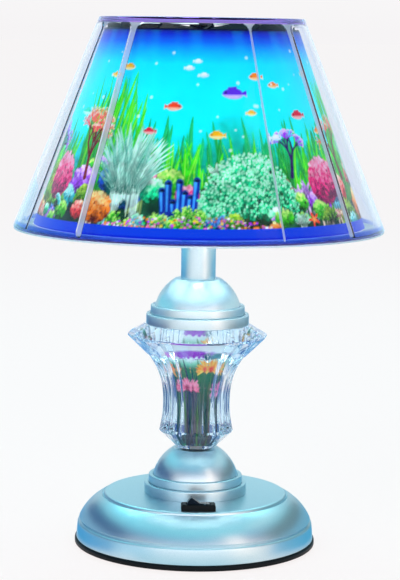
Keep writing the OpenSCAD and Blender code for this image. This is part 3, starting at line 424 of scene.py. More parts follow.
def shadeMesh():
    f = shadeForm
    height = high.z - low.z - f["lift"]
    foot = low.z + f["lift"]  # a hair above the carrier, so the two faces don't meet
    lowR, topR = high.x, f["topR"]
    slope = atan((lowR - topR) / height)
    slant = height / cos(slope)
    grooves = sorted((radians(f["turn"] + side * f["halfWide"] + 90 * k), f[half]) for k in range(4)
                     for side, half in ((-1, "stripHalf"), (1, "grooveHalf")))
    # places of points in mm: out from a groove's middle, up the outside, down the inside
    near = np.array([0, .4, .8, 1.1, 1.4, 1.8, 2.2, 2.6, 3, 3.4, 3.8, 4.3, 5.2, 6.4, 8, 10.5])
    rimSteps = [f["rim"] * (1 - cos(a)) for a in np.linspace(0.12, pi / 2, 6)]
    up = [*rimSteps, *np.arange(1.2, 5, 0.5), 6, 9, 14, *np.arange(22, slant - 26, 9),
          *np.arange(slant - 22, slant - 16, 1.5), *np.arange(slant - 15.5, slant - 1, 0.5),
          *(slant - s for s in reversed(rimSteps))]
    down = [*np.arange(slant - f["flange"] - 0.4, slant - 14, -1.5), *np.arange(slant - 18, 8, -5), 6, 4, 2.5, 1.2]

    def rimBack(s):
        gap = max(0.0, f["rim"] - min(s, slant - s))
        return f["rim"] - sqrt(max(0.0, f["rim"] ** 2 - gap ** 2))

    # radius at the outside, set back from it, height, distance up the outside, grooved or not
    rows = [(lowR - s * sin(slope), rimBack(s), foot + s * cos(slope), s, True) for s in up]
    top = foot + height
    rows += [(topR, topR - r, top, slant, False) for r in (topR - 1.2, topR - 4, f["vent"] + 0.6)]
    rows += [(topR, topR - f["vent"] - back, top - drop, slant, False)
             for back, drop in ((0.2, 0.15), (0, 0.6), (0, f["flange"] - 0.5), (0.3, f["flange"]))]
    rows += [(lowR - s * sin(slope), f["wall"], foot + s * cos(slope), s, False) for s in down]
    rows += [(lowR, back, foot, 0, False) for back in (f["wall"] - 0.5, f["rim"] + 0.1)]

    points = []  # place, how deep in a groove, and on the side of a strip that gets the painted dark line
    for outerR, back, z, s, grooved in rows:
        for k, (start, startHalf) in enumerate(grooves):
            end, endHalf = grooves[(k + 1) % 8]
            end += 2 * pi if k == 7 else 0
            narrow = end - start < pi / 4
            inner = np.linspace(start + near[-1] / outerR, end - near[-1] / outerR, f["panelPoints"][narrow])[1:-1]
            turn = np.concatenate([start + near / outerR, inner, end - near[:0:-1] / outerR])
            radius = np.full(len(turn), outerR - back)
            sunk = 0 * turn
            if grooved:
                a = np.minimum((turn - start) * outerR - startHalf, (end - turn) * outerR - endHalf)
                b = slant - f["topBand"] - f["topLine"] - s
                c = f["corner"]
                rounded = c - np.hypot(c - np.minimum(a, c), c - min(b, c))
                edge = np.where((a < c) & (b < c), rounded, np.minimum(a, b))
                sunk = 1 - smoothStep(-f["flank"], f["flank"], edge)
                sunk = sunk * smoothStep(0, f["topFade"], slant - f["topBand"] - s) * smoothStep(*f["footFade"], s)
                radius = radius - f["grooveDeep"] * sunk
            # painted shade: the broad strip's side towards its wide panel, except near the top
            dark = (sunk > 0.02) & (turn < start + f["darkReach"] / outerR)
            dark = dark & (not narrow) & (s < slant - f["darkBelow"])
            points.append(np.column_stack([roundPoints(radius, turn, z), sunk, dark]))
    points = np.concatenate(points)
    return points, ringFaces(len(rows), len(points) // len(rows))


points, faces = shadeMesh()
shade = meshPiece("clearShade", points[:, :3], faces, [shadeAcrylic, grooveAcrylic, paintedShadeAcrylic], shadeForm["sharp"])
sunk, dark = points[:, 3], points[:, 4]
# the grooves get the matt acrylic, the painted dark line its dark acrylic, the rest the clear shade
finishOf = [1 if min(sunk[i] for i in face) > 0.5 else 2 if all(dark[i] for i in face) else 0 for face in faces]
shade.data.polygons.foreach_set("material_index", finishOf)
standFor(shade, "lamp", "clear_acrylic", "outer_shade")
print("shade:", len(faces), "faces")


# A printed sheet is a grid of inks round a cone: turn per column, radius and height up the sheet per row, in mm
def startSheet(lowR, topR, length, columns, rows):
    share = np.linspace(0, 1, rows)
    return {"turn": np.linspace(-pi, pi, columns, endpoint=False), "radius": lowR + (topR - lowR) * share,
            "height": length * share, "step": length / (rows - 1), "ink": np.zeros((rows, columns, 3))}


def spot(sheet, angle, height, reach):
    first = max(0, int((height - reach) / sheet["step"]))
    rows = slice(first, max(first, int((height + reach) / sheet["step"]) + 2))
    away = np.angle(np.exp(1j * (sheet["turn"] - radians(angle))))
    radius = sheet["radius"][rows]
    columns = np.nonzero(np.abs(away) * (radius.min() if len(radius) else 1) < reach)[0]
    x = away[columns] * radius[:, None]
    y = (sheet["height"][rows] - height)[:, None] + 0 * x
    return (rows, columns), x, y


def radiusAt(sheet, height):
    row = int(height / sheet["step"])
    return sheet["radius"][min(max(row, 0), len(sheet["radius"]) - 1)]


# Ground colours from foot to head; gives each row's share of the way up
def layGround(sheet, stops):
    share = sheet["height"] / sheet["height"][-1]
    tones = [ink(code) for _, code in stops]
    ground = [np.interp(share, [at for at, _ in stops], [tone[k] for tone in tones]) for k in range(3)]
    sheet["ink"][:] = np.stack(ground, -1)[:, None, :]
    return share


def wash(sheet, cover, color):
    sheet["ink"] += cover[..., None] * (color - sheet["ink"])


def dab(sheet, where, distance, color, blur=0.9, cover=1.0):
    mask = (np.clip(0.5 - distance / blur, 0, 1) * cover)[..., None]
    under = sheet["ink"][where]
    sheet["ink"][where] = under + mask * (color - under)


def oval(sheet, angle, height, half, tall, color, lean=0.0, blur=0.9, cover=1.0):
    where, x, y = spot(sheet, angle, height, max(half, tall) + blur)
    c, s = cos(lean), sin(lean)
    across, along = (x * c + y * s) / half, (y * c - x * s) / tall
    dab(sheet, where, (np.hypot(across, along) - 1) * min(half, tall), color, blur, cover)


def stroke(sheet, angle, height, to, thick, color, blur=0.8):
    where, x, y = spot(sheet, angle, height, hypot(*to) + thick[0] + blur)
    t = np.clip((x * to[0] + y * to[1]) / (to[0] ** 2 + to[1] ** 2 + 1e-9), 0, 1)
    width = thick[0] + (thick[1] - thick[0]) * t
    dab(sheet, where, np.hypot(x - to[0] * t, y - to[1] * t) - width, color, blur)


# One weed blade, dark at its root and pale at its tip, swaying
def weedBlade(sheet, angle, height, length, half, sway, tones):
    where, x, y = spot(sheet, angle, height + length / 2, length / 2 + abs(sway) + half + 2)
    up = np.maximum(y / length + 0.5, 0)
    middle = sway * up ** 1.5 + 1.4 * np.sin(up * 6 + sway)
    width = half * (0.55 + 0.9 * up) * np.sqrt(np.clip(1 - up, 0, 1))
    outside = np.maximum(np.abs(x - middle) - width, np.abs(y) - length / 2)
    tint = np.clip(up * 1.15, 0, 1)[..., None]
    root, tip, shine = (ink(tone) if isinstance(tone, str) else tone for tone in tones)
    dab(sheet, where, outside, root * (1 - tint) + tip * tint)
    dab(sheet, where, np.abs(x - middle - width * 0.3) - width * 0.14 + (up > 0.93), shine, 0.8, 0.5)


# A rounded coral head built of small polyps, lit from above
def coralHead(sheet, angle, height, half, tall, tones, polyps, size):
    oval(sheet, angle, height, half, tall, ink(tones[0]) * 0.6, blur=3)
    level = radiusAt(sheet, height)
    for reach, way, grow, pick in rng.random((polyps, 4)):
        far = sqrt(reach)
        px, py = half * far * cos(way * 6.283), tall * far * sin(way * 6.283)
        lit = 2 * np.clip(0.45 + 0.5 * py / tall + 0.5 * (pick - 0.5), 0, 1)
        color = blend(tones[0], tones[1], lit) if lit < 1 else blend(tones[1], tones[2], lit - 1)
        at = angle + degrees(px / level)
        oval(sheet, at, height + py, size * (0.5 + 0.5 * grow), size * (0.7 + 0.7 * grow), color, (pick - 0.5) * 2)


# A branching coral: each limb forks until it is short, with pale tips
def branchCoral(sheet, angle, height, length, heading, thick, tones, forks):
    to = (length * sin(heading), length * cos(heading))
    stroke(sheet, angle, height, to, (thick, thick * 0.75), ink(tones[0 if forks > 1 else 1]))
    tip = angle + degrees(to[0] / radiusAt(sheet, height))
    if forks == 0:
        oval(sheet, tip, height + to[1], thick * 1.3, thick * 1.5, ink(tones[2]))
        return
    for turn in (-0.5, 0.05, 0.5):
        if rng.random() < 0.86:
            branchCoral(sheet, tip, height + to[1], length * (0.62 + 0.2 * rng.random()),
                        heading + turn + 0.3 * (rng.random() - 0.5), thick * 0.72, tones, forks - 1)


# A bloom of fine rays, pale at the rim
def rayBloom(sheet, angle, height, size, tones):
    for way, far, pick in rng.random((90, 3)):
        heading = (way - 0.5) * 4.4
        far = size * (0.55 + 0.45 * far)
        to = (far * sin(heading), far * cos(heading))
        stroke(sheet, angle, height, to, (size * 0.07, size * 0.035), blend(tones[1], tones[0], pick), 0.7)
    oval(sheet, angle, height, size * 0.3, size * 0.24, ink(tones[2]), blur=2.5)


# A sea anemone: a tuft of swaying arms, dark at the root and pale at the tips
def anemone(sheet, angle, height, half, tall, tones, arms):
    level = radiusAt(sheet, height)
    oval(sheet, angle, height + tall * 0.25, half * 0.7, tall * 0.4, ink(tones[0]) * 0.6, blur=5, cover=0.9)
    for place, rise, pick in rng.random((arms, 3)):
        lean = 2 * place - 1
        deep = 0.6 + 0.4 * pick
        armTones = [ink(tones[0]) * deep, blend(tones[1], tones[2], pick) * deep, ink(tones[2])]
        at = angle + degrees(lean * half * 0.4 / level)
        length = tall * (0.5 + 0.5 * rise) * (1 - 0.3 * lean * lean)
        sway = lean * half * 0.75 + (pick - 0.5) * 0.3 * half
        weedBlade(sheet, at, height + 0.15 * tall * rise, length, 0.9 + 0.6 * pick, sway, armTones)


# A small plain fish of one colour with a pale belly, facing left or right
def plainFish(sheet, angle, height, length, facing, tones):
    where, x, y = spot(sheet, angle, height, length)
    x, y = x * facing / length, y / length
    body = (np.hypot(x / 0.36, y / (0.19 * (1 - 0.35 * x))) - 1) * 0.19
    tail = np.maximum(np.abs(y) - 0.5 * (-x - 0.26), np.maximum(-x - 0.5, x + 0.26))
    fin = np.maximum(np.abs(x) - 0.16, np.abs(y - 0.17) - 0.07 * (1 - x))
    shape = np.minimum(np.minimum(body, tail), fin) * length
    dab(sheet, where, shape, ink(tones[0]), 0.8)
    dab(sheet, where, np.maximum(shape, (y + 0.05) * length), ink(tones[1]), 1.4, 0.8)
    dab(sheet, where, (np.hypot(x - 0.24, y - 0.03) - 0.035) * length, ink("#10141c"), 0.7)


def starfish(sheet, angle, height, size, lean, tones):
    where, x, y = spot(sheet, angle, height, size + 1)
    way = np.arctan2(x, y) + lean
    arm = size * (0.36 + 0.64 * np.abs(np.cos(way * 2.5)) ** 3)
    dab(sheet, where, np.hypot(x, y) - arm, ink(tones[0]))
    dab(sheet, where, np.hypot(x, y) - arm * 0.45, ink(tones[1]), 2.0, 0.8)


# Uneven tone of a natural surface, 0 to 1 over the whole sheet
def mottle(sheet, size, octaves=4):
    rows, columns = sheet["ink"].shape[:2]
    total = np.zeros((rows, columns))
    for k in range(octaves):
        across = max(4, int(2 * pi * sheet["radius"].mean() / size * 2 ** k))
        tall = int(sheet["height"][-1] / size * 2 ** k) + 2
        grid = rng.random((tall, across))
        u, v = np.linspace(0, across, columns, endpoint=False), np.linspace(0, tall - 1.001, rows)
        i, j = v.astype(int), u.astype(int)
        fv, fu = smoothStep(0, 1, v - i)[:, None], smoothStep(0, 1, u - j)
        level = grid[i] * (1 - fv) + grid[i + 1] * fv
        total += (level[:, j] * (1 - fu) + level[:, (j + 1) % across] * fu) / 2 ** (k + 1)
    return np.clip(total / (1 - 0.5 ** octaves), 0, 1)


# A bushy coral of short fingers that point outwards, pale at the tips
def fingerCoral(sheet, angle, height, half, tall, tones, fingers, size):
    level = radiusAt(sheet, height)
    oval(sheet, angle, height + tall * 0.35, half * 0.92, tall * 0.6, ink(tones[0]) * 0.5, blur=6, cover=0.95)
    places = rng.random((fingers, 4))
    places = places[np.argsort(-np.sqrt(places[:, 0]) * np.sin(places[:, 1] * pi))]
    for reach, way, grow, pick in places:
        far = sqrt(reach)
        px, py = half * far * cos(way * pi), tall * far * sin(way * pi)
        heading = atan2(px / half, py / tall + 0.4) + (pick - 0.5) * 0.9
        length = size * (1.6 + 1.8 * grow)
        to = (length * sin(heading), length * cos(heading))
        light = float(np.clip(0.12 + 0.5 * py / tall + 0.7 * (pick - 0.35), 0, 1))
        at = angle + degrees(px / level)
        stroke(sheet, at, height + py, to, (size * 0.62, size * 0.45), blend(tones[0], tones[1], light))
        oval(sheet, at + degrees(to[0] / level), height + py + to[1], size * 0.46, size * 0.5,
             blend(tones[1], tones[2], light))


# Printed drum: a generic reef of plain motifs on a blue water ground between two dark blue bands
drum = {
    "columns": 940, "rows": 184, "topR": 70.507, "thick": 0.5,
    "footBand": ("#003cd6", 8.2), "headBand": ("#04082c", 1.2),
    "water": [(0.0, "#043a48"), (0.2, "#087a80"), (0.36, "#04c4cc"), (0.5, "#00f2f4"), (0.7, "#00eefc"),
              (0.83, "#00dcfc"), (0.89, "#00a6f6"), (0.935, "#0460e2"), (0.97, "#0a2cc6"), (1.0, "#060a50")],
    # colour families, dark to light
    "farWeed": ("#046a4a", "#0cba6a", "#3ce68a"),
    "weeds": (("#045a16", "#0ccc1e", "#a0ff4a"), ("#033c22", "#0a9a38", "#4ee67a"),
              ("#0c6a0a", "#3ce614", "#d0ff70")),
    "mint": ("#01401e", "#1ceea0", "#e6fff6"), "lime": ("#083a0a", "#36c81e", "#dcff8a"),
    "rose": ("#5a0440", "#f01c7c", "#ffc2dc"), "amber": ("#6a1a02", "#ff861a", "#fff0a0"),
    "blue": ("#02123e", "#0c5ce6", "#8ae4ff"), "violet": ("#260a5a", "#9a34e6", "#f4ccff"),
    "coral": ("#6a0a1c", "#fa4a50", "#ffe2cc"), "teal": ("#022a3a", "#0ab4c0", "#c8fff8"),
    "moss": ("#0a2a06", "#4a9a14", "#c4e64a"), "feather": ("#046a5a", "#3ae6c8", "#d8fff0"),
    # rows of small corals from back to front: lowest and highest foot in mm, how many, range of half width
    "coralRows": ((24, 44, 46, 7, 14), (13, 28, 60, 6, 12), (5, 15, 86, 4, 8)),
    "mix": ("mint", "lime", "rose", "mint", "blue", "amber", "moss", "violet", "lime", "coral", "teal", "moss"),
    "bed": ("#ffd82a", "#ff6ac4", "#ffffff", "#2ed83a", "#ff861e", "#c03af0"),
}
low, high = (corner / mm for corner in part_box("drum_film"))
filmRise = high.z - low.z
filmLength = hypot(high.x - drum["topR"], filmRise)
reef = startSheet(high.x, drum["topR"], filmLength, drum["columns"], drum["rows"])
share = layGround(reef, drum["water"])
turn, up = reef["turn"], share[:, None]
beams = np.clip(np.sin(turn * 9 + up * 2.2) * np.sin(turn * 23 + up * 4) + 0.2, 0, 1) * smoothStep(0.35, 0.95, up)
wash(reef, beams * 0.08, ink("#00f6ff"))

# far reef in the haze, then fields of weed
far = mottle(reef, 24)
ridge = 0.4 + 0.06 * np.sin(turn * 3 + 1) + 0.04 * np.sin(turn * 7 + 0.4) + 0.2 * (far - 0.5)
wash(reef, smoothStep(0.06, -0.06, up - ridge) * 0.75, ink("#04a070"))
for place, tall, pick in rng.random((240, 3)):
    weedBlade(reef, 360 * place - 180, 16, 40 + 32 * tall, 1.4 + 1.6 * pick, (pick - 0.5) * 14, drum["farWeed"])
for sector in (-120, 0, 120):
    for first, last, count, tallest in ((-56, -26, 80, 112), (-22, 64, 170, 70)):
        for place, tall, pick in rng.random((count, 3)):
            at = sector + first + (last - first) * place
            weedBlade(reef, at, 8, tallest * (0.45 + 0.55 * tall), 1.0 + 1.4 * pick, (pick - 0.5) * 18,
                      drum["weeds"][int(pick * 3)])

# near reef: dark mottled rock, then corals from back to front
near, tint = mottle(reef, 16), mottle(reef, 30)
ridge = 0.2 + 0.05 * np.sin(turn * 3 + 2) + 0.03 * np.sin(turn * 10) + 0.16 * (near - 0.5)
rock = blend("#040c26", "#0c4a22", tint[..., None]) + np.clip(near[..., None] - 0.45, 0, 1) * ink("#3a8a5a")
wash(reef, smoothStep(0.02, -0.02, up - ridge), np.clip(rock, 0, 1))
for row, (lowest, highest, count, smallest, largest) in enumerate(drum["coralRows"]):
    for place, rise, grow, pick, kind in rng.random((count, 5)):
        at, foot, half = 360 * place - 180, lowest + (highest - lowest) * rise, smallest + (largest - smallest) * grow
        tones = drum[drum["mix"][int(pick * len(drum["mix"]))]]
        fine = 0.8 + 0.04 * half
        if kind < 0.4:
            coralHead(reef, at, foot + 0.5 * half, half, 0.85 * half, tones, int(2.4 * half * half), fine)
        elif kind < 0.7:
            fingerCoral(reef, at, foot - 0.3 * half, half, 1.3 * half, tones, int(1.2 * half * half), fine)
        elif kind < 0.9:
            anemone(reef, at, foot - 0.2 * half, half, 1.5 * half, tones, int(5 * half))
        else:
            branchCoral(reef, at, foot - 0.2 * half, 0.6 * half, pick - 0.5, 0.12 * half, tones, 4)
    for sector in (-120, 120, 0):  # larger corals, the same set in each third of the drum
        at = sector + (0 if sector == 0 else 10 * (rng.random() - 0.5))
        if row == 0:
            branchCoral(reef, at - 50, 40, 15, -0.1, 1.7, drum["coral"], 5)
            anemone(reef, at - 30, 30, 26, 46, drum["feather"], 150)
        elif row == 1:
            branchCoral(reef, at + 34, 44, 12, 0.2, 1.6, drum["violet"], 5)
            for k in range(7):  # blue tube sponges
                x, tall = at - 15 + 1.8 * k, 16 + 8 * sin(k * 2.4)
                stroke(reef, x, 18, (0.5 * (k - 3), tall), (1.8, 2.5), ink("#082a9a"), 1.0)
                stroke(reef, x - 0.4, 20, (0.5 * (k - 3), tall - 2), (0.5, 0.9), ink("#3aa0ff"), 1.0)
                oval(reef, x + 0.26 * (k - 3), 18 + tall, 2.2, 1.1, ink("#020a34"))
            fingerCoral(reef, at + 16, 14, 36, 44, drum["mint"], 900, 1.5)
            coralHead(reef, at + 50, 40, 15, 17, drum["rose"], 460, 1.3)
        else:
            coralHead(reef, at - 41, 20, 13, 11, drum["amber"], 300, 1.2)
            fingerCoral(reef, at - 6, 6, 13, 15, drum["lime"], 170, 1.2)
            starfish(reef, at + 40, 13, 5.5, 0.4, ("#e8301a", "#ffb05a"))
for place, rise, grow, pick in rng.random((1500, 4)):  # heaps of small bright growth along the bed
    heap = 9 * max(0.0, sin(place * 18.85 - 1.2)) ** 0.7
    if heap > 1:
        color = ink(drum["bed"][int(pick * 6)]) * (0.5 + 0.5 * grow)
        oval(reef, 360 * place - 180, 8 + heap * rise ** 1.3, 0.4 + 0.6 * grow, 0.4 + 0.5 * grow, color, blur=0.8)

# small plain fish (angle, height, length, facing, tones) and bubbles
gold, brick, pearl = ("#ffb80a", "#fff3b0"), ("#f0401a", "#ffd0b0"), ("#e8f4ff", "#9fd4f4")
plum, tang = ("#5a2ad8", "#e0c8ff"), ("#ff8410", "#ffe9b0")
rust, aqua = ("#d81a3a", "#ffc8c8"), ("#1ae0c0", "#e0fff8")
for fish in (
        (-40, 122, 11, 1, gold), (-47, 116, 10, 1, gold), (12, 104, 20, -1, plum), (24, 116, 12, -1, tang),
        (33, 110, 10, -1, tang), (-14, 94, 14, 1, brick), (-8, 122, 8, 1, pearl), (-1, 117, 8, 1, pearl),
        (-4, 127, 7, 1, pearl), (44, 88, 15, -1, rust), (4, 74, 13, -1, gold), (30, 72, 10, 1, pearl),
        (-24, 76, 11, -1, rust), (20, 90, 9, 1, gold), (58, 118, 10, 1, gold), (-62, 88, 13, 1, aqua),
        (56, 76, 12, -1, tang), (100, 100, 16, 1, gold), (126, 112, 12, -1, brick), (150, 98, 18, 1, plum),
        (-110, 98, 16, -1, tang), (-140, 110, 11, 1, rust), (-160, 92, 14, -1, gold), (82, 84, 12, 1, pearl),
        (-88, 114, 12, -1, gold)):
    plainFish(reef, *fish)
for place, rise, grow in rng.random((110, 3)):
    oval(reef, 360 * place - 180, 60 + 76 * rise, 0.5 + 0.8 * grow, 0.5 + 0.8 * grow, ink("#e8fcff"), cover=0.6)
uneven = smoothStep(0.55, 0.3, up) * 0.9 * (mottle(reef, 4, 2) - 0.5) + 0.16 * (mottle(reef, 6, 3) - 0.5)
reef["ink"] = np.clip(reef["ink"] * (1 + uneven[..., None]), 0, 1)
foot, footHeight = drum["footBand"]
reef["ink"][reef["height"] < footHeight] = ink(foot)
head, headHeight = drum["headBand"]
reef["ink"][reef["height"] > filmLength - headHeight] = ink(head)
print("drum print painted")


# Polyester film, or card, printed on the outside: vivid inks, with a painted glow in the ink colours that lifts them
# as if lamp light shone through from behind
def printedSheet(name, glow):
    mat, shader = startMaterial(name, {"Roughness": 0.5, "Specular IOR Level": 0.1, "Emission Strength": glow})
    inks = addNode(mat, "ShaderNodeVertexColor", layer_name="inks").outputs["Color"]
    setSockets(mat, shader, {"Base Color": inks, "Emission Color": inks})
    return mat


# strength of the painted glow: more on the drum film, less on the vase card
printedFilm = printedSheet("printedFilm", glow=0.42)
printedCard = printedSheet("printedCard", glow=0.2)


def sheetPiece(name, sheet, footZ, rise, thick, materials):
    rows, columns = sheet["ink"].shape[:2]
    r = np.concatenate([sheet["radius"], sheet["radius"][[-1, 0]] - thick])[:, None]
    z = np.concatenate([footZ + rise * np.linspace(0, 1, rows), [footZ + rise, footZ]])[:, None]
    points = roundPoints(r, sheet["turn"], z)
    piece = meshPiece(name, points, ringFaces(rows + 2, columns), materials)
    inside = np.zeros(len(piece.data.polygons), np.int32)
    inside[(rows - 1) * columns:] = 1
    piece.data.polygons.foreach_set("material_index", inside)
    inks = np.ones((rows + 2, columns, 4), np.float32)
    inks[:rows, :, :3] = sheet["ink"]
    inks[rows:, :, :3] = ink("#dbeaf2")
    layer = piece.data.color_attributes.new("inks", "FLOAT_COLOR", "POINT")
    layer.data.foreach_set("color", inks.ravel())
    return piece


film = sheetPiece("printedDrum", reef, low.z, filmRise, drum["thick"], [printedFilm, filmBack])
standFor(film, "drum", "printed_film", "drum_film")

# Picture card in the vase: upright green and navy fronds with round blooms, violet at the top
flame, pink = ("#ff8a1a", "#ffe46a", "#f03a2a"), ("#f03a8a", "#ffb4d4", "#a0105a")
orchid, ember = ("#e83ab0", "#ffc8ec", "#7a1a8a"), ("#ff4a3a", "#ffc46a", "#c01a3a")
cardPrint = {
    "columns": 320, "rows": 170, "lowR": 11.75, "thick": 0.4,
    "ground": [(0.0, "#04081c"), (0.2, "#081c3e"), (0.42, "#0a4a30"), (0.68, "#1a7a50"), (0.73, "#7ad0b4"),
               (0.79, "#d8f4f4"), (0.86, "#f0f4ff"), (1.0, "#f6fbff")],
    "fronds": (("#020a20", "#0c2a58", "#2a5a98"), ("#022814", "#0c7a3a", "#5ac85a"),
               ("#06143a", "#0e4a4a", "#3aa88a")),
    # colour clouds at the top: angle, height, half width and half height in mm
    "clouds": ((-12, 78, 14, 3.4, "#9a1cd0"), (36, 76, 9, 3.0, "#0a5a7a"), (-62, 77, 9, 2.6, "#c04ae0"),
               (84, 78, 12, 3.2, "#9a1cd0"), (134, 76, 10, 3.0, "#0a5a7a"), (-118, 78, 13, 3.4, "#9a1cd0"),
               (-168, 76, 10, 3.0, "#0a5a7a")),
    # angle, height and size in mm
    "blooms": ((24, 60, 11, flame), (-22, 44, 9, pink), (58, 40, 9, orchid), (-66, 58, 10, ember),
               (110, 50, 10, flame), (-118, 46, 10, pink), (166, 58, 10, orchid)),
}
low, high = (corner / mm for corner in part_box("vase_picture"))
cardRise, lowR = high.z - low.z, cardPrint["lowR"]
card = startSheet(lowR, high.x, hypot(high.x - lowR, cardRise), cardPrint["columns"], cardPrint["rows"])
layGround(card, cardPrint["ground"])
for place, tall, pick in rng.random((70, 3)):
    frond = cardPrint["fronds"][0 if (360 * place) % 72 < 26 else 1 + int(pick * 2)]
    weedBlade(card, 360 * place - 180, 3, 26 + 42 * tall, 1.4 + 1.2 * pick, (pick - 0.5) * 6, frond)
for angle, height, half, tall, code in cardPrint["clouds"]:
    oval(card, angle, height, half, tall, ink(code), blur=2.2)
    for place, rise in rng.random((14, 2)):  # ragged lower edge
        at = angle + 2.1 * half * (2 * place - 1)
        oval(card, at, height - tall * (0.5 + 0.7 * rise), 1.2, 1.6, ink(code), blur=1.0)
for bloom in cardPrint["blooms"]:
    rayBloom(card, *bloom)
cardPiece = sheetPiece("vasePicture", card, low.z, cardRise, cardPrint["thick"], [printedCard, filmBack])
standFor(cardPiece, "lamp", "printed_card", "vase_picture")
print("prints placed")

# Faceted vase: eighteen flutes scooped between sharp ridges, scalloped under a flat-faced flange
vaseForm = {
    "facets": 18, "ridge": 0.35, "scoop": 1.5, "fullScoop": 4.3, "scallop": 1.8, "floor": 4.0, "boreLow": 12.0,
    "boreTop": 24.0, "rodHole": 5.2, "sharp": 16,
    # radius, height, share of the scoop and share of the scallop
    "foot": [(14.6, 0.0, 0, 0), (15.0, 0.5, 0, 0), (27.2, 11.9, 0, 0), (27.5, 12.6, 0.1, 0.6)],
    "head": [(37.2, 70.3, 0.7, 1), (37.9, 71.0, 0.0, 1), (51.4, 83.2, 0, 0), (51.6, 83.6, 0, 0), (51.6, 84.6, 0, 0),
             (51.3, 85.1, 0, 0), (39.3, 92.3, 0, 0), (38.8, 92.5, 0, 0)],
    # radius and height of the waist, and how far it swells and runs below and above
    "waist": (24.9, 33), "below": (2.6, 20.7), "above": (12.3, 37.3),
}
low, high = (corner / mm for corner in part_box("crystal_vase"))


def vaseMesh():
    f = vaseForm
    half = pi / f["facets"]
    (r, z), (lowSwell, lowRun), (topSwell, topRun) = f["waist"], f["below"], f["above"]
    levels = f["foot"] + [(r + lowSwell * t * t, z - lowRun * t, 1, 0) for t in np.linspace(0.9, 0.1, 7)]
    levels += [(r + topSwell * t ** 2.5, z + topRun * t, 1, 0) for t in np.linspace(0, 0.95, 13)] + f["head"]
    points = []
    across = np.array([-0.84, -0.6, -0.3, 0, 0.3, 0.6, 0.84])  # places over one facet, between its two ridges
    for r, z, scoop, scallop in levels:
        flat, wide = r * cos(half), r * sin(half)
        edge = 1 - f["ridge"] / wide
        place = np.concatenate([[-edge], across, [edge]])
        out = flat - scoop * f["scoop"] * (1 - (place / edge) ** 2) * min(1, wide / f["fullScoop"])
        lift = scallop * f["scallop"] * (0.5 - np.abs(place / edge) ** 2)
        side = place * wide
        for k in range(f["facets"]):
            middle = 2 * half * k
            x = out * sin(middle) + side * cos(middle)
            y = -out * cos(middle) + side * sin(middle)
            points.append(np.stack([x, y, low.z + z + lift], -1))
    turn = np.concatenate([np.arctan2(p[:, 0], -p[:, 1]) for p in points[:f["facets"]]])
    rise, floor, hole = high.z - low.z, f["floor"], f["rodHole"]
    bore = [(f["boreTop"] + 0.3, rise), (f["boreTop"] - 0.1, rise - 0.6), (f["boreLow"], floor), (hole + 0.2, floor),
            (hole, floor - 0.3), (hole, 0.0)]
    points += [roundPoints(r, turn, low.z + z) for r, z in bore]
    return np.concatenate(points), ringFaces(len(levels) + len(bore), len(turn))


points, faces = vaseMesh()
vase = meshPiece("facetedVase", points, faces, [vaseAcrylic], vaseForm["sharp"])
standFor(vase, "lamp", "clear_acrylic", "crystal_vase")
print("vase:", len(faces), "faces")

# Silver mouldings, with small edge radii: base cover, two stepped domes and the neck
silverLacquer = slotFinish["silver_paint"]
coverForm = {
    "skirt": [(88.6, 4.8, 0.5), (87.6, 16.4, 1.1), (85.4, 17.5, 0.3)],
    "skirtInside": [(84.6, 17.0, 0), (86.6, 4.8, 0)],
    # centre and radius of the bulge and its first and last angle; centre and radius of the disc's lip
    "bulge": ((53.77, 4.1), 36.0, 25.0, 63.8), "crease": [(69.6, 36.1, 0.2), (68.6, 35.7, 0.1)],
    "lip": ((66.35, 36.4), 1.9), "lipInside": (64.35, 34.8), "wall": 2.0, "rodHole": 5.2, "discTop": 38.3,
    "switchHole": ((-10.9, -62.4, 35), (10.9, -54.1, 40)), "cordHole": ((-3.9, 80, 7.0), (3.9, 94, 14.8)),
}
c = coverForm
arcCentre, arcR, arcFrom, arcTo = c["bulge"]
hole, lipR, under = c["rodHole"], c["lipInside"][0], c["discTop"] - c["wall"]
corners = c["skirt"] + arcPoints(arcCentre, arcR, arcFrom, arcTo, 28) + c["crease"] + arcPoints(*c["lip"], 0, 90, 10)
corners += [(hole, c["discTop"], 0), (hole, under, 0), (lipR, under, 0), (*c["lipInside"], 0)]
corners += arcPoints(arcCentre, arcR - c["wall"], arcTo, arcFrom, 10) + c["skirtInside"]
cover = lathe("silverBase", softOutline(corners), silverLacquer, sides=256)


def cutAway(piece, name, first, last, drilled=False):
    size = [(b - a) * mm for a, b in zip(first, last)]
    middle = [(a + b) / 2 * mm for a, b in zip(first, last)]
    work = bmesh.new()
    if drilled:
        radius = size[0] / 2
        bmesh.ops.create_cone(work, cap_ends=True, segments=64, radius1=radius, radius2=radius, depth=size[1])
        bmesh.ops.rotate(work, verts=work.verts, cent=(0, 0, 0), matrix=Matrix.Rotation(pi / 2, 3, "X"))
    else:
        bmesh.ops.create_cube(work, size=1)
        bmesh.ops.scale(work, vec=size, verts=work.verts)
    bmesh.ops.translate(work, vec=middle, verts=work.verts)
    tool = newObject(name, bpy.data.meshes.new(name))
    work.to_mesh(tool.data)
    work.free()
    cut = piece.modifiers.new(name, "BOOLEAN")
    cut.object, cut.operation, cut.solver = tool, "DIFFERENCE", "EXACT"
    bpy.context.view_layer.objects.active = piece
    bpy.ops.object.modifier_apply(modifier=cut.name)
    bpy.data.objects.remove(tool)
    finishMesh(piece, edgeAngle)


cutAway(cover, "switchHole", *c["switchHole"])
cutAway(cover, "cordHole", *c["cordHole"], drilled=True)
standFor(cover, "lamp", "silver_paint", "base_cover")

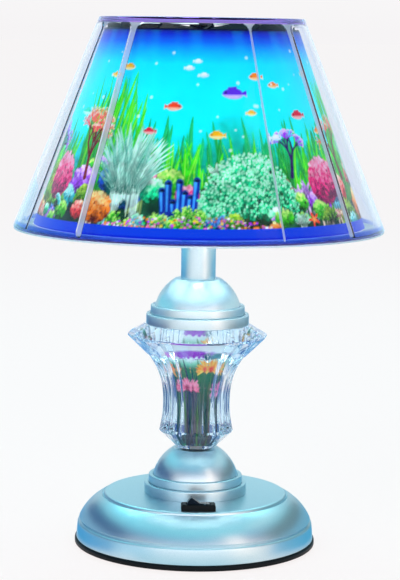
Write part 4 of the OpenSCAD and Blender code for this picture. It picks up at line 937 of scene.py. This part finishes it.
domeForm = {
    # radius and height of the ring and of the step on it; the globe's radius and the height of its centre
    "ring": (38.0, 7.6), "step": (34.8, 13.8), "stepEdge": (32.2, 31.0), "globe": 32.4, "centre": 6.0, "top": 33.582,
    "topEdge": 17.0, "round": 0.9, "crease": 0.8, "wall": 2.2, "rodHole": 5.2,
    "inside": [(32.6, 11.6, 0), (32.6, 5.4, 0), (35.8, 5.4, 0), (35.8, 0, 0)],
}
d = domeForm
(ringR, ringZ), (stepR, stepZ), (edgeR, creaseR) = d["ring"], d["step"], d["stepEdge"]
globe, centre, top, hole = d["globe"], (0, d["centre"]), d["top"], d["rodHole"]
soft, dip, wall = d["round"], d["crease"], d["wall"]
start, end = (degrees(asin((z - d["centre"]) / globe)) for z in (stepZ, top))
corners = [(ringR, 0, 0.3), (ringR, ringZ, soft), (stepR + 0.3, ringZ, 0.2), (stepR - 0.6, ringZ - dip, 0.1),
           (stepR, ringZ + 0.5, 0.2), (stepR, stepZ, soft), (edgeR, stepZ, 0.2), (creaseR, stepZ - dip, 0.1)]
corners += arcPoints(centre, globe, start, end - 1, 30) + [(d["topEdge"], top, 0.5), (hole, top, 0)]
corners += [(hole, top - wall, 0)] + arcPoints(centre, globe - wall, end - 4, start, 8) + d["inside"]
for name, node in (("lowerDome", "lower_dome"), ("upperDome", "upper_dome")):
    outline = softOutline(corners) + (0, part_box(node)[0].z / mm)
    standFor(lathe(name, outline, silverLacquer, sides=220), "lamp", "silver_paint", node)

low, high = (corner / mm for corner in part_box("neck_tube"))
outer, inner = 12.8, 11.6
neck = softOutline([(outer, low.z, 0.4), (outer, high.z, 0.4), (inner, high.z, 0.3), (inner, low.z, 0.3)])
standFor(lathe("neckTube", neck, silverLacquer, sides=160), "lamp", "silver_paint", "neck_tube")

# Felt pad under the plate, with a soft cut edge
low, high = (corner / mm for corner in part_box("base_felt"))
hole, outer = 3.0, high.x
pad = softOutline([(hole, low.z, 0), (outer, low.z, 0.4), (outer, high.z, 0.2), (hole, high.z, 0)])
standFor(lathe("feltPad", pad, slotFinish["felt"], sides=180), "lamp", "felt", "base_felt")
print("silver mouldings and felt made")

# small moulded edge radii on the plain pieces, in mm
for name, width in (("switch_body", 0.35), ("switch_rocker", 0.3), ("bottom_plate", 0.3)):
    node = frame["nodes"][name]
    weld = node.modifiers.new("weld", "WELD")
    weld.merge_threshold = nodeGap
    edge = node.modifiers.new("edge", "BEVEL")
    edge.width, edge.segments, edge.limit_method, edge.angle_limit = width * mm, 3, "ANGLE", radians(nodeAngle)

print("lamp finished")
